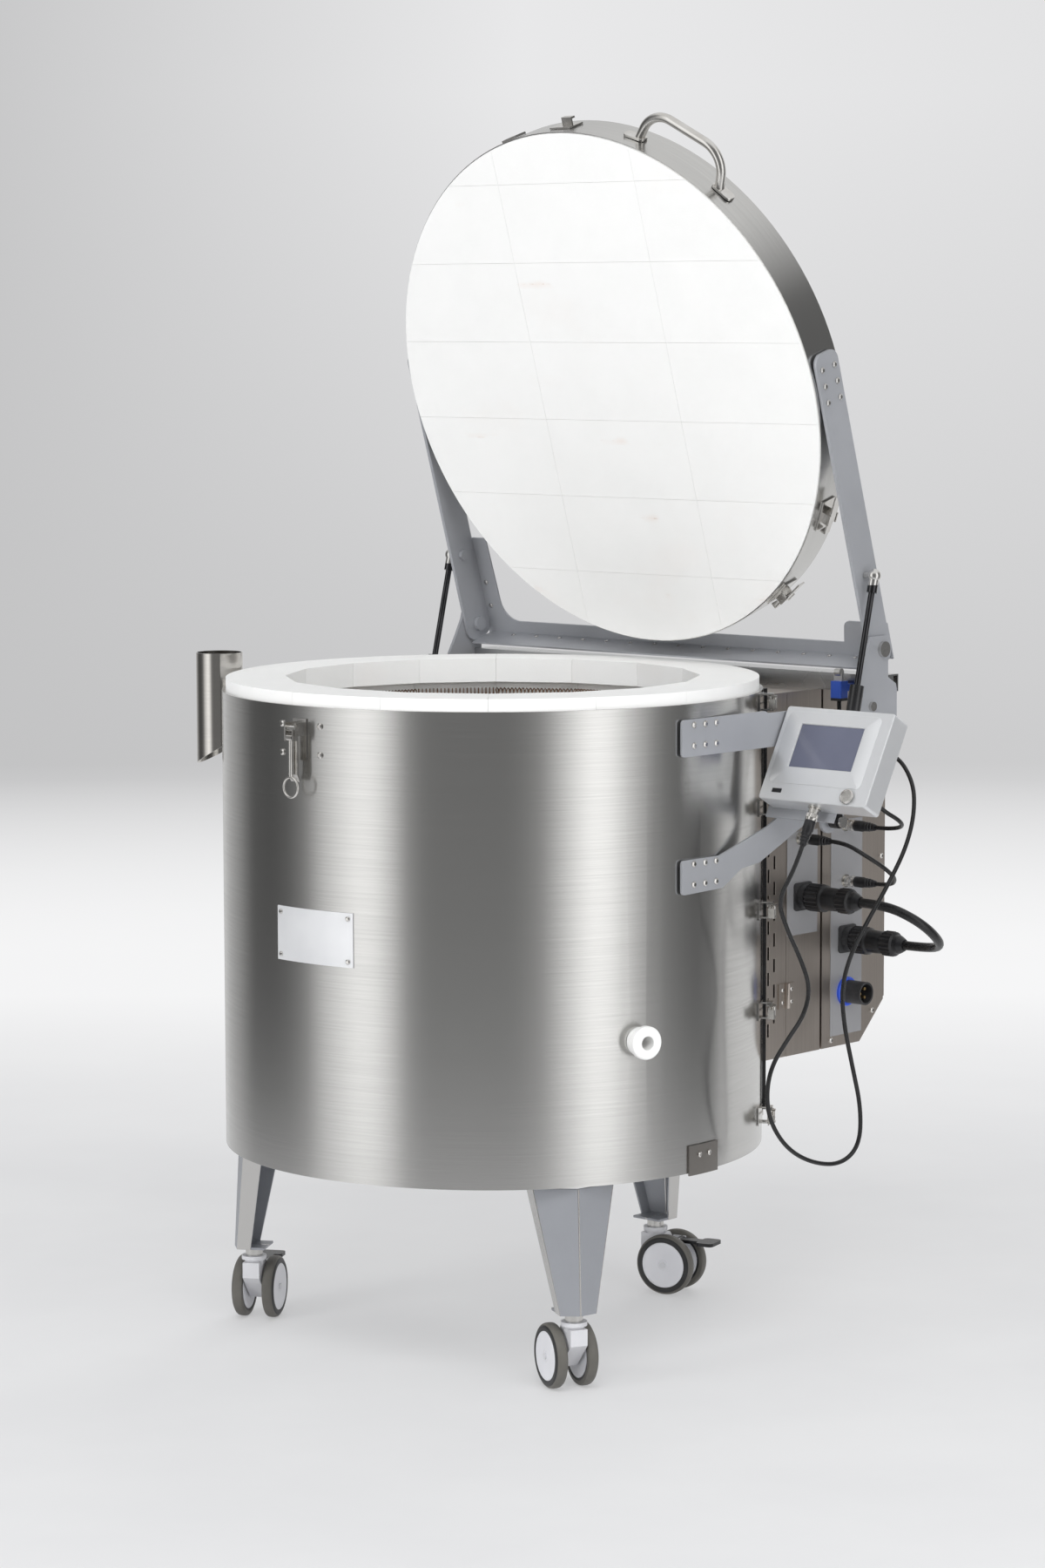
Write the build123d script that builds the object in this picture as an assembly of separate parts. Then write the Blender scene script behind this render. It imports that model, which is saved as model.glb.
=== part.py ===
from build123d import *
from math import atan2, cos, degrees, hypot, radians, sin, sqrt, tan
import os

os.makedirs("parts", exist_ok=True)

# Top-loading ceramic kiln on three casters, drawn with its lid open.
# Origin: on the floor under the axis of the drum. +Z up, -Y is the front with the lid latch.

# General clearances and sheet metal
rest_gap = 0.3
running_gap = 0.05
sheet = 1.5
plate = 3.0

# Drum
drum_radius = 340.0
jacket_sheet = 1.2
drum_bottom = 254.0
drum_top = 827.0
seam_angle = 38.0
seam_slit = 2.0

# Brick lining
rim_top = 842.0
rim_radius = 335.0
rim_lip_height = 30.0
rim_ledge = 3.4
wall_outer_radius = 320.0
chamber_apothem = 256.0
chamber_sides = 16
chamber_joint_angle = -48.5
chamber_floor = 372.0
courses = 4
brick_joint = 0.3
groove_height = 22.0
groove_depth = 20.0
first_groove = 17.0
base_sheet = 3.0
floor_board_height = 50.0
floor_row_joints = (-158.0, -53.0, 53.0, 158.0)
floor_column_joints = (-112.0, 118.0)

# Heating elements and thermocouple
coil_radius = 7.0
coil_setback = 3.0
thermocouple_angle = 97.75
thermocouple_height = 594.5
thermocouple_radius = 4.0
thermocouple_reach = 45.0

# Spy hole
spy_angle = -16.8
spy_height = 426.0
spy_bore_radius = 8.5
spy_shaft_radius = 10.6
spy_flange_radius = 20.2
spy_stand_off = 21.0

# Lid and its hinge
pivot_y = 345.0
pivot_z = 872.0
lid_travel = 73.0
lid_gap = 1.0
lid_thickness = 57.0
lid_radius = 342.0
lid_face_proud = 2.0
lid_row_joints = (-249.0, -144.0, -39.0, 66.0, 172.0, 276.0)
lid_column_joints = (-112.0, 118.0)
arm_thickness = 4.5
arm_width = 45.0
arm_end_past_pivot = 20.0
arm_reach = 391.0
arm_screw_reaches = (329.0, 350.0, 371.0)
arm_screw_offset = 12.5
crossbar_sheet = 2.2
crossbar_low = 3.0
crossbar_flange_reach = 22.0
crossbar_flange_depth = 42.0
gusset_height = 116.0
gusset_width = 29.0
tab_height = 26.0
tab_width = 74.0
rivet_pitch = 42.0
rivets_each_side = 7
pivot_bolt_radius = 6.0

# Handle, catch and clamps on the lid band
handle_angle = -59.35
handle_span = 131.0
handle_stand_off = 52.0
handle_tube_radius = 6.0
handle_bend = 24.0
catch_angle = -90.3
clamp_angles = (29.0, 53.0)
band_plate_angles = (-106.0, 132.5)

# Hinge brackets and beam
bracket_thickness = 4.0
bracket_gap = 0.5
beam_front = 343.0
beam_depth = 41.0
beam_top = 838.0
beam_height = 22.0
beam_sheet = 2.0

# Gas struts
strut_x = 362.0
strut_low = (238.0, 664.0)
strut_arm_reach = 100.0
strut_arm_drop = 3.0
strut_body_radius = 9.0
strut_rod_radius = 4.0
strut_body_length = 172.0
strut_eye_radius = 9.0
strut_pin_radius = 5.0

# Front latch
latch_angle = -90.3
latch_screw_heights = (769.4, 804.0)
latch_screw_offset = 32.0
latch_pin_height = 800.0
latch_pin_stand_off = 12.0
latch_lever_length = 55.0
bail_length = 73.0
bail_wire = 1.5
bail_pin_radius = 1.8

# Seam latches
seam_latch_heights = (292.0, 425.0, 552.0, 682.0, 813.0)
seam_pin_angle = 32.5
seam_pin_stand_off = 12.0
seam_pin_radius = 1.8
seam_lever_length = 33.0
seam_loop_arm = 9.0
seam_loop_rise = 5.7
keeper_angle = 40.7
keeper_reach = 6.5
loop_wire = 1.25
loop_width = 9.0

# Plates on the drum
name_angle = -87.3
name_height = 549.0
name_width = 122.0
name_tall = 66.0
name_sheet = 0.8
label_sheet = 0.6
foot_plate_angle = 1.0
foot_plate_width = 55.0
foot_plate_top = 288.0
foot_plate_low = 251.0

# Panel and its bracket
panel_left = 346.0
panel_top = (161.5, 813.0)
panel_lean = 28.6
panel_width = 165.0
panel_height = 124.0
panel_depth = 30.0
screen_left = 31.0
screen_drop = 22.7
screen_width = 96.0
screen_height = 57.0
button_across = 135.0
button_drop = 113.0
button_radius = 9.5
button_travel = 1.5
panel_socket_across = 79.0
arm_plate_x = 340.6

# Rear boxes
box_half_width = 250.0
box_bottom = 348.0
box_front = 200.0
cover_front = 280.0
cover_rear = 350.0
cabinet_front = 354.0
cabinet_rear = 486.0
cabinet_chamfer = (434.0, 400.0)
slot_columns = (244.0, 256.0)
slot_pitch = 33.0
slot_length = 17.0
slot_width = 3.5
slot_first = 386.0
slots_per_column = 8
hinge_line_heights = (427.0, 742.0)

# Connectors on the side of the rear boxes: y, z
cover_small = (306.0, 627.0)
cover_big = (312.0, 552.0)
cabinet_small_high = (400.0, 636.0)
cabinet_small_low = (401.0, 563.0)
cabinet_big = (405.0, 487.0)
cabinet_hidden = (400.0, 735.0)
inlet = (404.0, 418.0)
small_socket_length = 9.0
big_socket_length = 14.0
small_plug_length = 42.0
big_plug_length = 81.0

# Limit switch
switch_x = (289.0, 306.0)
switch_y = (318.0, 334.0)
switch_z = (805.0, 830.0)

# Side tube
tube_angle = 202.8
tube_radius = 30.0
tube_wall = 1.5
tube_lid_gap = 1.0
tube_top = 862.0
tube_long = 718.0
tube_short = 752.0

# Legs
leg_angles = (210.0, -30.0, 90.0)
leg_bottom = 97.0
leg_top_half = 52.0
leg_bottom_half = 23.5
leg_fold = 22.0
leg_flange = 26.0
leg_ridge_top = 336.0
leg_ridge_bottom = 344.0
leg_sheet = 3.0

# Casters
caster_radius = 318.0
caster_trail = 24.0
trail_directions = (119.0, 154.5, 14.5)
braked = (True, False, True)
wheel_radius = 40.0
wheel_inner_face = 13.0
wheel_outer_face = 28.0
axle_radius = 4.0
fork_half_width = 11.0
pedal_x = 36.0
pedal_z = 70.0

# Cords
thin_cord_radius = 2.75
thick_cord_radius = 6.0

# Values that follow from those above
jacket_inner = drum_radius - jacket_sheet
course_height = (rim_top - chamber_floor) / courses
groove_pitch = course_height / 2
side_step = 360 / chamber_sides
lid_low = rim_top + lid_gap
lid_high = lid_low + lid_thickness
arm_inner = lid_radius + rest_gap
arm_outer = arm_inner + arm_thickness
bracket_inner = arm_outer + bracket_gap
bracket_outer = bracket_inner + bracket_thickness
box_top = beam_top - beam_height
pivot_axis = Axis((0, pivot_y, pivot_z), (1, 0, 0))


def save(name, *shapes):
    """Write every solid of the shapes as one named piece or group."""
    solids = [solid for shape in shapes for solid in shape.solids()]
    shape = Compound(solids) if len(solids) > 1 else solids[0]
    export_step(shape, f"parts/{name}.step")


def polar(radius, angle, height=0.0):
    """Point at an angle round the drum axis."""
    return (radius * cos(radians(angle)), radius * sin(radians(angle)), height)


def on_drum(angle, height, radius=drum_radius):
    """Plane on the drum: X along the rim, Y up, Z outward."""
    tangent = (-sin(radians(angle)), cos(radians(angle)), 0)
    return Plane(origin=polar(radius, angle, height), x_dir=tangent, z_dir=polar(1, angle))


def block(x_low, x_high, y_low, y_high, z_low, z_high):
    """Box between limits."""
    box = Box(x_high - x_low, y_high - y_low, z_high - z_low, align=(Align.MIN, Align.MIN, Align.MIN))
    return Pos(x_low, y_low, z_low) * box


def disc(radius, low, high):
    """Upright cylinder on the drum axis."""
    return Pos(0, 0, low) * extrude(Circle(radius), high - low)


def ring(outer, inner, low, high):
    """Upright tube on the drum axis."""
    return disc(outer, low, high) - disc(inner, low - 1, high + 1)


def sector(inner, outer, start, end, low, high, flat_inside=False):
    """Part of a ring between two angles, with a curved or a flat inner side."""
    middle = (start + end) / 2
    outside = ThreePointArc(polar(outer, start), polar(outer, middle), polar(outer, end))
    if flat_inside:
        inside = Line(polar(inner, end), polar(inner, start))
    else:
        inside = ThreePointArc(polar(inner, end), polar(inner, middle), polar(inner, start))
    sides = [Line(polar(outer, end), polar(inner, end)), Line(polar(inner, start), polar(outer, start))]
    face = make_face([outside, sides[0], inside, sides[1]])
    return Pos(0, 0, low) * extrude(face, high - low, dir=(0, 0, 1))


def profile_x(outline, x_low, x_high, rounded=0.0):
    """Outline in Y and Z drawn out along X."""
    shape = Polygon(*outline, align=None)
    if rounded:
        shape = fillet(shape.vertices(), rounded)
    return Pos(x_low, 0, 0) * extrude(Plane.YZ * shape, x_high - x_low, dir=(1, 0, 0))


def rod(start, end, radius):
    """Round bar between two points."""
    line = Vector(*end) - Vector(*start)
    bar = Cylinder(radius, line.length, align=(Align.CENTER, Align.CENTER, Align.MIN))
    return Plane(origin=start, z_dir=line) * bar


def turned(steps, place):
    """Solid of revolution about the plane's Z; steps are (distance, radius)."""
    outline = [(0, steps[0][0])] + [(radius, distance) for distance, radius in steps] + [(0, steps[-1][0])]
    return place * revolve(Plane.XZ * Polygon(*outline, align=None), Axis.Z)


def screw(place, radius=4.0, height=2.4):
    """Pan head that stands on a plane."""
    return turned([(0, radius), (0.55 * height, radius), (height, 0.55 * radius)], place)


def tiles(radius, low, high, rows, columns):
    """Disc of bricks with joints along X and Y."""
    y_edges = [-radius, *rows, radius]
    x_edges = [-radius, *columns, radius]
    whole = disc(radius, low, high)
    bricks = []
    for y_low, y_high in zip(y_edges, y_edges[1:]):
        for x_low, x_high in zip(x_edges, x_edges[1:]):
            half = brick_joint / 2
            cell = block(x_low + half, x_high - half, y_low + half, y_high - half, low - 1, high + 1)
            bricks += (whole & cell).solids()
    return bricks


def bent_wire(points, radius, radii):
    """Round bar along straight runs with tangent arcs."""
    path = FilletPolyline(*points, radius=radii)
    start = Plane(origin=points[0], z_dir=Vector(*points[1]) - Vector(*points[0]))
    return sweep(start * Circle(radius), path)


def open_lid(shape):
    """Turn a piece that is drawn closed to the open lid."""
    return shape.rotate(pivot_axis, -lid_travel)


# Drum: wrapped sheet with a folded top edge, closed by a seam strip

def drum_jacket():
    wall = ring(drum_radius, jacket_inner, drum_bottom, drum_top)
    lip = ring(jacket_inner, rim_radius + rest_gap, drum_top - jacket_sheet, drum_top)
    slit = Rot(0, 0, seam_angle) * block(rim_radius - 5, drum_radius + 5, -seam_slit / 2, seam_slit / 2,
                                         drum_bottom - 1, drum_top + 1)
    spy_hole = rod(polar(250, spy_angle, spy_height), polar(360, spy_angle, spy_height),
                   spy_shaft_radius + rest_gap)
    return wall + lip - slit - spy_hole - thermocouple_hole()


def thermocouple_hole():
    """Bore through the wall for the thermocouple."""
    start = polar(chamber_apothem - 60, thermocouple_angle, thermocouple_height)
    end = polar(drum_radius + 30, thermocouple_angle, thermocouple_height)
    return rod(start, end, thermocouple_radius + rest_gap)


def seam_strip():
    """Rubber strip over the seam."""
    low = drum_bottom + 39
    strip = sector(drum_radius + rest_gap, drum_radius + 5, seam_angle - 0.9, seam_angle + 0.9, low, drum_top)
    return strip


def insulation():
    """Fibre blanket behind the bricks and a board under the floor."""
    blanket = ring(jacket_inner - rest_gap, wall_outer_radius + rest_gap, drum_bottom + base_sheet,
                   rim_top - rim_lip_height - rest_gap)
    hole = rod(polar(250, spy_angle, spy_height), polar(360, spy_angle, spy_height),
               spy_shaft_radius + rest_gap)
    board_low = drum_bottom + base_sheet
    board = disc(wall_outer_radius - rest_gap, board_low, board_low + floor_board_height)
    return blanket - hole - thermocouple_hole(), board


def floor_bricks():
    low = drum_bottom + base_sheet + floor_board_height
    return tiles(wall_outer_radius - rest_gap, low, chamber_floor, floor_row_joints, floor_column_joints)


def wall_brick(course, side):
    """One hard-edged brick with two element grooves in its flat inner side."""
    inset = degrees(brick_joint / 2 / chamber_apothem)
    start = chamber_joint_angle + side * side_step + inset
    end = start + side_step - 2 * inset
    low = chamber_floor + course * course_height + brick_joint
    high = chamber_floor + (course + 1) * course_height
    corner = chamber_apothem / cos(radians(side_step / 2))
    brick = sector(corner, wall_outer_radius, start, end, low, high, flat_inside=True)
    if course == courses - 1:
        lip = sector(wall_outer_radius - 1, rim_radius, start, end, rim_top - rim_lip_height, rim_top)
        brick += lip
    middle = (start + end) / 2
    for number in range(2):
        centre = chamber_floor + course * course_height + first_groove + number * groove_pitch
        cut = block(chamber_apothem - 10, chamber_apothem + groove_depth, -90, 90,
                    centre - groove_height / 2, centre + groove_height / 2)
        brick -= Rot(0, 0, middle) * cut
    return brick


def wall_bricks():
    bricks = []
    spy_hole = rod(polar(230, spy_angle, spy_height), polar(360, spy_angle, spy_height),
                   spy_shaft_radius + rest_gap)
    for course in range(courses):
        for side in range(chamber_sides):
            brick = wall_brick(course, side)
            middle = chamber_joint_angle + (side + 0.5) * side_step
            low = chamber_floor + course * course_height
            if abs(middle - spy_angle) < side_step / 2 and low < spy_height < low + course_height:
                brick -= spy_hole
            if abs(middle - thermocouple_angle) < side_step / 2 and low < thermocouple_height < low + course_height:
                brick -= thermocouple_hole()
            bricks.append(brick)
    return bricks


def heating_elements():
    """One coil in each groove, drawn as its outer shape."""
    ring_radius = chamber_apothem + coil_setback + coil_radius
    corner = ring_radius / cos(radians(side_step / 2))
    corners = [Vector(*polar(corner, chamber_joint_angle + side * side_step)) for side in range(chamber_sides)]
    start = (corners[0] + corners[1]) * 0.5
    route = [start, *corners[1:], corners[0], start]
    path = Wire([Edge.make_line(*ends) for ends in zip(route, route[1:])])
    section = Plane(origin=start, x_dir=start, z_dir=corners[1] - corners[0]) * RegularPolygon(
        coil_radius, 6, major_radius=False)
    loop = sweep(section, path, transition=Transition.RIGHT)
    rings = []
    for number in range(2 * courses):
        groove = chamber_floor + first_groove + number * groove_pitch
        rings.append(Pos(0, 0, groove - groove_height / 2 + coil_radius) * loop)
    return rings


def thermocouple():
    """Ceramic sheath through the wall, with its head outside the jacket."""
    inner = chamber_apothem - thermocouple_reach
    place = Plane(origin=polar(inner, thermocouple_angle, thermocouple_height), z_dir=polar(1, thermocouple_angle))
    length = drum_radius + rest_gap - inner
    return turned([(0, thermocouple_radius), (length, thermocouple_radius)], place)


def spy_plug():
    """Hollow spool in the spy hole."""
    inner = chamber_apothem + 2
    collar = drum_radius + rest_gap - inner
    length = drum_radius + spy_stand_off - inner
    place = Plane(origin=polar(inner, spy_angle, spy_height), z_dir=polar(1, spy_angle))
    steps = [(0, spy_shaft_radius), (collar, spy_shaft_radius), (collar, 17), (collar + 4, 17),
             (collar + 6.5, 14), (length - 10, 14), (length - 8, spy_flange_radius),
             (length - 1.5, spy_flange_radius), (length, spy_flange_radius - 1.5)]
    bore = turned([(-1, spy_bore_radius), (length + 1, spy_bore_radius)], place)
    return turned(steps, place) - bore


# Legs and casters

def leg_section(half, flange):
    """Folded sheet seen from above: ridge outward, side flanges inward. X is along the rim."""
    back = half * tan(radians(leg_fold))
    inner_apex = leg_sheet / cos(radians(leg_fold))
    inner = half - leg_sheet
    inner_back = inner * tan(radians(leg_fold)) + inner_apex
    outline = [(-half, -back - flange), (-half, -back), (0, 0), (half, -back), (half, -back - flange),
               (inner, -back - flange), (inner, -inner_back), (0, -inner_apex), (-inner, -inner_back),
               (-inner, -back - flange)]
    return Polygon(*outline, align=None)


def leg(angle):
    """One leg: folded web, top plate to the drum and sole plate for the caster."""
    tangent = (-sin(radians(angle)), cos(radians(angle)), 0)
    top_plate_low = drum_bottom - plate
    sole_top = leg_bottom + plate
    top = Plane(origin=polar(leg_ridge_top, angle, top_plate_low), x_dir=tangent, z_dir=(0, 0, 1))
    low = Plane(origin=polar(leg_ridge_bottom, angle, leg_bottom), x_dir=tangent, z_dir=(0, 0, 1))
    sections = [low * mirror_section(leg_section(leg_bottom_half, leg_flange - 8)),
                top * mirror_section(leg_section(leg_top_half, leg_flange))]
    web = loft(sections, ruled=True)
    sole_out = leg_ridge_bottom - leg_bottom_half * tan(radians(leg_fold)) - leg_sheet - 1
    sole = Rot(0, 0, angle) * block(sole_out - 32, sole_out + 4, -leg_bottom_half + 1, leg_bottom_half - 1,
                                    leg_bottom, sole_top)
    top_out = leg_ridge_top - leg_top_half * tan(radians(leg_fold))
    cap = Rot(0, 0, angle) * block(top_out - 55, top_out + 4, -leg_top_half, leg_top_half,
                                   top_plate_low, drum_bottom)
    return web + sole + cap


def mirror_section(section):
    """Put the ridge side away from the drum axis."""
    return section.mirror(Plane.XZ)


def caster_place(index):
    """Frame of a caster: origin on the floor under the stem, X along the trail."""
    return Pos(*polar(caster_radius, leg_angles[index])) * Rot(0, 0, trail_directions[index])


def caster_fork(index):
    """White housing between the wheels, with its stem on top and the axle through it."""
    stem_low = 80.0
    outline = make_hull([*(Pos(caster_trail, wheel_radius) * Circle(15)).edges(),
                         *(Pos(0, 68) * Rectangle(32, 20)).edges()])
    body = extrude(Plane.XZ * outline, fork_half_width, both=True)
    stem = turned([(stem_low - 6, 12), (stem_low + 1, 12), (stem_low + 1, 16), (stem_low + 6, 16),
                   (stem_low + 6, 11), (leg_bottom, 11)], Plane.XY)
    axle = rod((caster_trail, -wheel_outer_face - 1, wheel_radius), (caster_trail, wheel_outer_face + 1, wheel_radius),
               axle_radius)
    shape = body + stem + axle
    if braked[index]:
        for side in (-1, 1):
            ear = block(pedal_x - 14, pedal_x + 4, 8, fork_half_width, pedal_z - 4, pedal_z + 4)
            shape += ear if side > 0 else ear.mirror(Plane.XZ)
        shape += rod((pedal_x, -fork_half_width, pedal_z), (pedal_x, fork_half_width, pedal_z), 2)
    return caster_place(index) * shape


def caster_wheels(index):
    """Two wheels with dished outer faces."""
    wheels = []
    for side in (-1, 1):
        place = Plane(origin=(caster_trail, side * wheel_inner_face, wheel_radius), z_dir=(0, side, 0))
        width = wheel_outer_face - wheel_inner_face
        steps = [(0, wheel_radius - 2), (2, wheel_radius), (width - 3, wheel_radius), (width - 0.5, wheel_radius - 5),
                 (width, wheel_radius - 9)]
        wheel = turned(steps, place)
        bore = turned([(-1, axle_radius + running_gap), (width + 3, axle_radius + running_gap)], place)
        wheels.append(caster_place(index) * (wheel - bore))
    return wheels


def brake_pedal(index):
    """Foot pedal that turns on the fork's pin."""
    barrel = rod((pedal_x, -7.6, pedal_z), (pedal_x, 7.6, pedal_z), 4.5)
    stalk = block(pedal_x, 68, -7.6, 7.6, pedal_z - 2, pedal_z + 2.5)
    pad = Pos(78, 0, pedal_z + 0.25) * Box(24, 34, 4.5)
    pad = fillet(pad.edges().filter_by(Axis.Z), 6)
    bore = rod((pedal_x, -9, pedal_z), (pedal_x, 9, pedal_z), 2 + running_gap)
    return caster_place(index) * (barrel + stalk + pad - bore)


# Plates and screws on the drum

def curved_plate(angle, width, low, high, thickness, radius=drum_radius):
    """Sheet that lies on the drum."""
    half = degrees(width / 2 / radius)
    return sector(radius + rest_gap, radius + rest_gap + thickness, angle - half, angle + half, low, high)


def body_plates():
    """Name plate, foot plate and the three label strips, all bare."""
    name = curved_plate(name_angle, name_width, name_height - name_tall / 2, name_height + name_tall / 2, name_sheet)
    foot = curved_plate(foot_plate_angle, foot_plate_width, foot_plate_low, foot_plate_top, 2)
    cover_label = block(box_half_width, box_half_width + label_sheet, 281, 343, 503, 636)
    cabinet_label = block(box_half_width, box_half_width + label_sheet, 371.5, 437, 362, 643)
    for socket in sockets():
        cover_label -= socket
        cabinet_label -= socket
    return name, foot, cover_label, cabinet_label


def body_screws():
    """Pan-head screws on the drum, the legs and the rear boxes."""
    heads = []
    for side in (-1, 1):
        for height in (name_height - name_tall / 2 + 7, name_height + name_tall / 2 - 7):
            angle = name_angle + side * degrees((name_width / 2 - 7) / drum_radius)
            heads.append(screw(on_drum(angle, height, drum_radius + rest_gap + name_sheet), 3))
        for height in latch_screw_heights:
            angle = latch_angle + side * degrees(latch_screw_offset / drum_radius)
            heads.append(screw(on_drum(angle, height), 4))
        angle = foot_plate_angle + side * degrees(9 / drum_radius)
        heads.append(screw(on_drum(angle, 275.5, drum_radius + rest_gap + 2), 3.4))
    for height in (633.5, 608.5, 802, 777):
        for offset in (-17, 4, 25):
            place = Plane(origin=(arm_plate_x + plate, offset, height), z_dir=(1, 0, 0))
            heads.append(screw(place, 4))
    for y, z in ((478, 588), (460, 386), (373, 357)):
        heads.append(screw(Plane(origin=(box_half_width, y, z), z_dir=(1, 0, 0)), 3.5))
    for height in hinge_line_heights:
        for y in (cover_front - 9, cover_front + 9):
            for step in (-8, 8):
                place = Plane(origin=(box_half_width + 1.5, y, height + step), z_dir=(1, 0, 0))
                heads.append(screw(place, 2.6, 1.6))
    return heads


# Front latch that holds the lid down

def latch_frame():
    """Plane at the lever's pin: X along the rim, Y up, Z outward."""
    return on_drum(latch_angle, latch_pin_height, drum_radius + latch_pin_stand_off)


def ear_pair(gap, thickness, height, stand_off, reach=6.0):
    """Two ears on a base plate, with the pin's centre at the origin."""
    ears = []
    for side in (-1, 1):
        low = side * gap / 2 if side > 0 else -gap / 2 - thickness
        ears.append(block(low, low + thickness, -height / 2, height / 2, -stand_off, reach))
    return ears[0] + ears[1]


def front_latch_base():
    """Base on the drum with two ears and the lever's pin."""
    base = sector(drum_radius + rest_gap, drum_radius + 1.8, latch_angle - 1.9, latch_angle + 1.9,
                  latch_pin_height - 38, latch_pin_height + 12)
    ears = ear_pair(15.4, 2, 16, latch_pin_stand_off - 1.2)
    pin = rod((-10, 0, 0), (10, 0, 0), 2)
    return base + latch_frame() * (ears + pin)


def front_latch_lever():
    """Bowed lever that hangs from the pin."""
    barrel = rod((-7.5, 0, 0), (7.5, 0, 0), 4.5)
    bore = rod((-8, 0, 0), (8, 0, 0), 2 + running_gap)
    tongue = block(-7.5, 7.5, -latch_lever_length, -3, -1, 1)
    tip = Pos(0, -latch_lever_length, 0) * Rot(25, 0, 0) * block(-7.5, 7.5, -9, 1, -1, 1)
    cheek = block(-7.5, -5.5, -14, 0, -1, 8) + block(5.5, 7.5, -14, 0, -1, 8)
    bail_pin = rod((-7.5, -10, 5), (7.5, -10, 5), bail_pin_radius)
    return latch_frame() * (barrel + tongue + tip + cheek + bail_pin - bore)


def front_latch_bail():
    """Wire loop that hangs from the lever and hooks over the lid's catch."""
    hub = rod((-5, -10, 5), (5, -10, 5), 3.6) - rod((-6, -10, 5), (6, -10, 5), bail_pin_radius + running_gap)
    shaft = rod((0, -12.5, 5), (0, -10 - bail_length + 26, 5), 2.0)
    centre = -10 - bail_length + 13
    loop = Pos(0, centre, 5) * Torus(12, bail_wire)
    return latch_frame() * (hub + shaft + loop)


# Five toggle latches along the seam

def seam_frame(height):
    """Plane at the lever's pin: X along the rim, Y up, Z outward."""
    return on_drum(seam_pin_angle, height, drum_radius + seam_pin_stand_off)


def seam_latch_base(height):
    """Base with two ears, its pin and the keeper beyond the seam."""
    low = drum_radius + rest_gap
    base = sector(low, low + sheet, seam_pin_angle - 4, seam_pin_angle + 2.5, height - 11, height + 11)
    ears = Part()
    for side in (-1, 1):
        middle = side * 9.6
        ears += block(-7, 7, middle - 1, middle + 1, -seam_pin_stand_off + 1.2, 4)
    pin = rod((0, -10, 0), (0, 10, 0), seam_pin_radius)
    keeper = sector(low, low + sheet, keeper_angle - 1.6, keeper_angle + 1.6, height - 9, height + 9)
    lip_half = loop_width / 2 - loop_wire - 1.3
    lip = sector(low, drum_radius + 9, keeper_angle - 0.3, keeper_angle, height - lip_half, height + lip_half)
    return base + seam_frame(height) * (ears + pin), keeper + lip


def seam_lever(height):
    """Lever that lies back along the drum, with an outward tab at its end."""
    tongue = block(-seam_lever_length, -2.5, -8.3, 8.3, 1.5, 3)
    cheeks = Part()
    for side in (-1, 1):
        middle = side * 7.5
        cheeks += block(-14, 3.5, middle - 0.8, middle + 0.8, -3, 3)
        cheeks += block(-13, -5, middle - 0.8, middle + 0.8, 2, seam_loop_rise + 3)
    tab = Pos(-seam_lever_length, 0, 1.5) * Rot(0, 50, 0) * block(-10, 1, -6, 6, 0, 1.5)
    loop_pin = rod((-seam_loop_arm, -7, seam_loop_rise), (-seam_loop_arm, 7, seam_loop_rise), 1.0)
    bore = rod((0, -9, 0), (0, 9, 0), seam_pin_radius + running_gap)
    return seam_frame(height) * (tongue + cheeks + tab + loop_pin - bore)


def seam_loop(height):
    """Wire loop from the lever over the seam to the keeper."""
    turn = keeper_angle - seam_pin_angle + degrees((loop_wire + rest_gap) / drum_radius)
    far = (drum_radius + keeper_reach) * sin(radians(turn))
    low = (drum_radius + keeper_reach) * cos(radians(turn)) - drum_radius - seam_pin_stand_off
    half = loop_width / 2
    rise = seam_loop_rise
    points = [(-seam_loop_arm + 2, -half, rise), (6, -half, rise), (far, -half, low), (far, half, low),
              (6, half, rise), (-seam_loop_arm + 2, half, rise)]
    wire = bent_wire(points, loop_wire, 3.0)
    hub = rod((-seam_loop_arm, -half - 1, rise), (-seam_loop_arm, half + 1, rise), 2.4)
    bore = rod((-seam_loop_arm, -half - 2, rise), (-seam_loop_arm, half + 2, rise), 1.0 + running_gap)
    return seam_frame(height) * (wire + hub - bore)


# Rear boxes

def slots(side):
    """Two columns of vent slots in one side wall."""
    cuts = []
    for column, y in enumerate(slot_columns):
        for number in range(slots_per_column):
            z = slot_first + number * slot_pitch + column * slot_pitch / 2
            cuts.append(Pos(side * box_half_width, y, z) * Box(10, slot_width, slot_length))
    return cuts


def element_box():
    """Two cheeks beside the drum that close the space round the element ends."""
    drum = disc(drum_radius + rest_gap, box_bottom - 1, box_top + 1)
    cheeks = []
    for side in (-1, 1):
        wall = block(box_half_width - sheet, box_half_width, box_front, cover_front - rest_gap, box_bottom, box_top)
        low = block(150, box_half_width, box_front, cover_front - rest_gap, box_bottom, box_bottom + sheet)
        high = block(150, box_half_width, box_front, cover_front - rest_gap, box_top - sheet, box_top)
        cheek = wall + low + high
        if side < 0:
            cheek = cheek.mirror(Plane.YZ)
        cheek = cheek - drum
        for cut in slots(side):
            cheek -= cut
        cheeks.append(cheek)
    return cheeks


def terminal_cover():
    """Hinged cover behind the drum, open toward the element ends."""
    outer = block(-box_half_width, box_half_width, cover_front, cover_rear, box_bottom, box_top)
    inner = block(-box_half_width + sheet, box_half_width - sheet, cover_front - 1, cover_rear - sheet,
                  box_bottom + sheet, box_top - sheet)
    shell = outer - inner - disc(drum_radius + rest_gap, box_bottom - 1, box_top + 1)
    hinges = []
    for height in hinge_line_heights:
        leaf = block(box_half_width, box_half_width + 1.5, cover_front - 16, cover_front + 16, height - 16, height + 16)
        knuckle = rod((box_half_width + 3.2, cover_front, height - 16), (box_half_width + 3.2, cover_front, height + 16), 3)
        hinges.append(leaf + knuckle)
    return shell, *hinges


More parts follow.
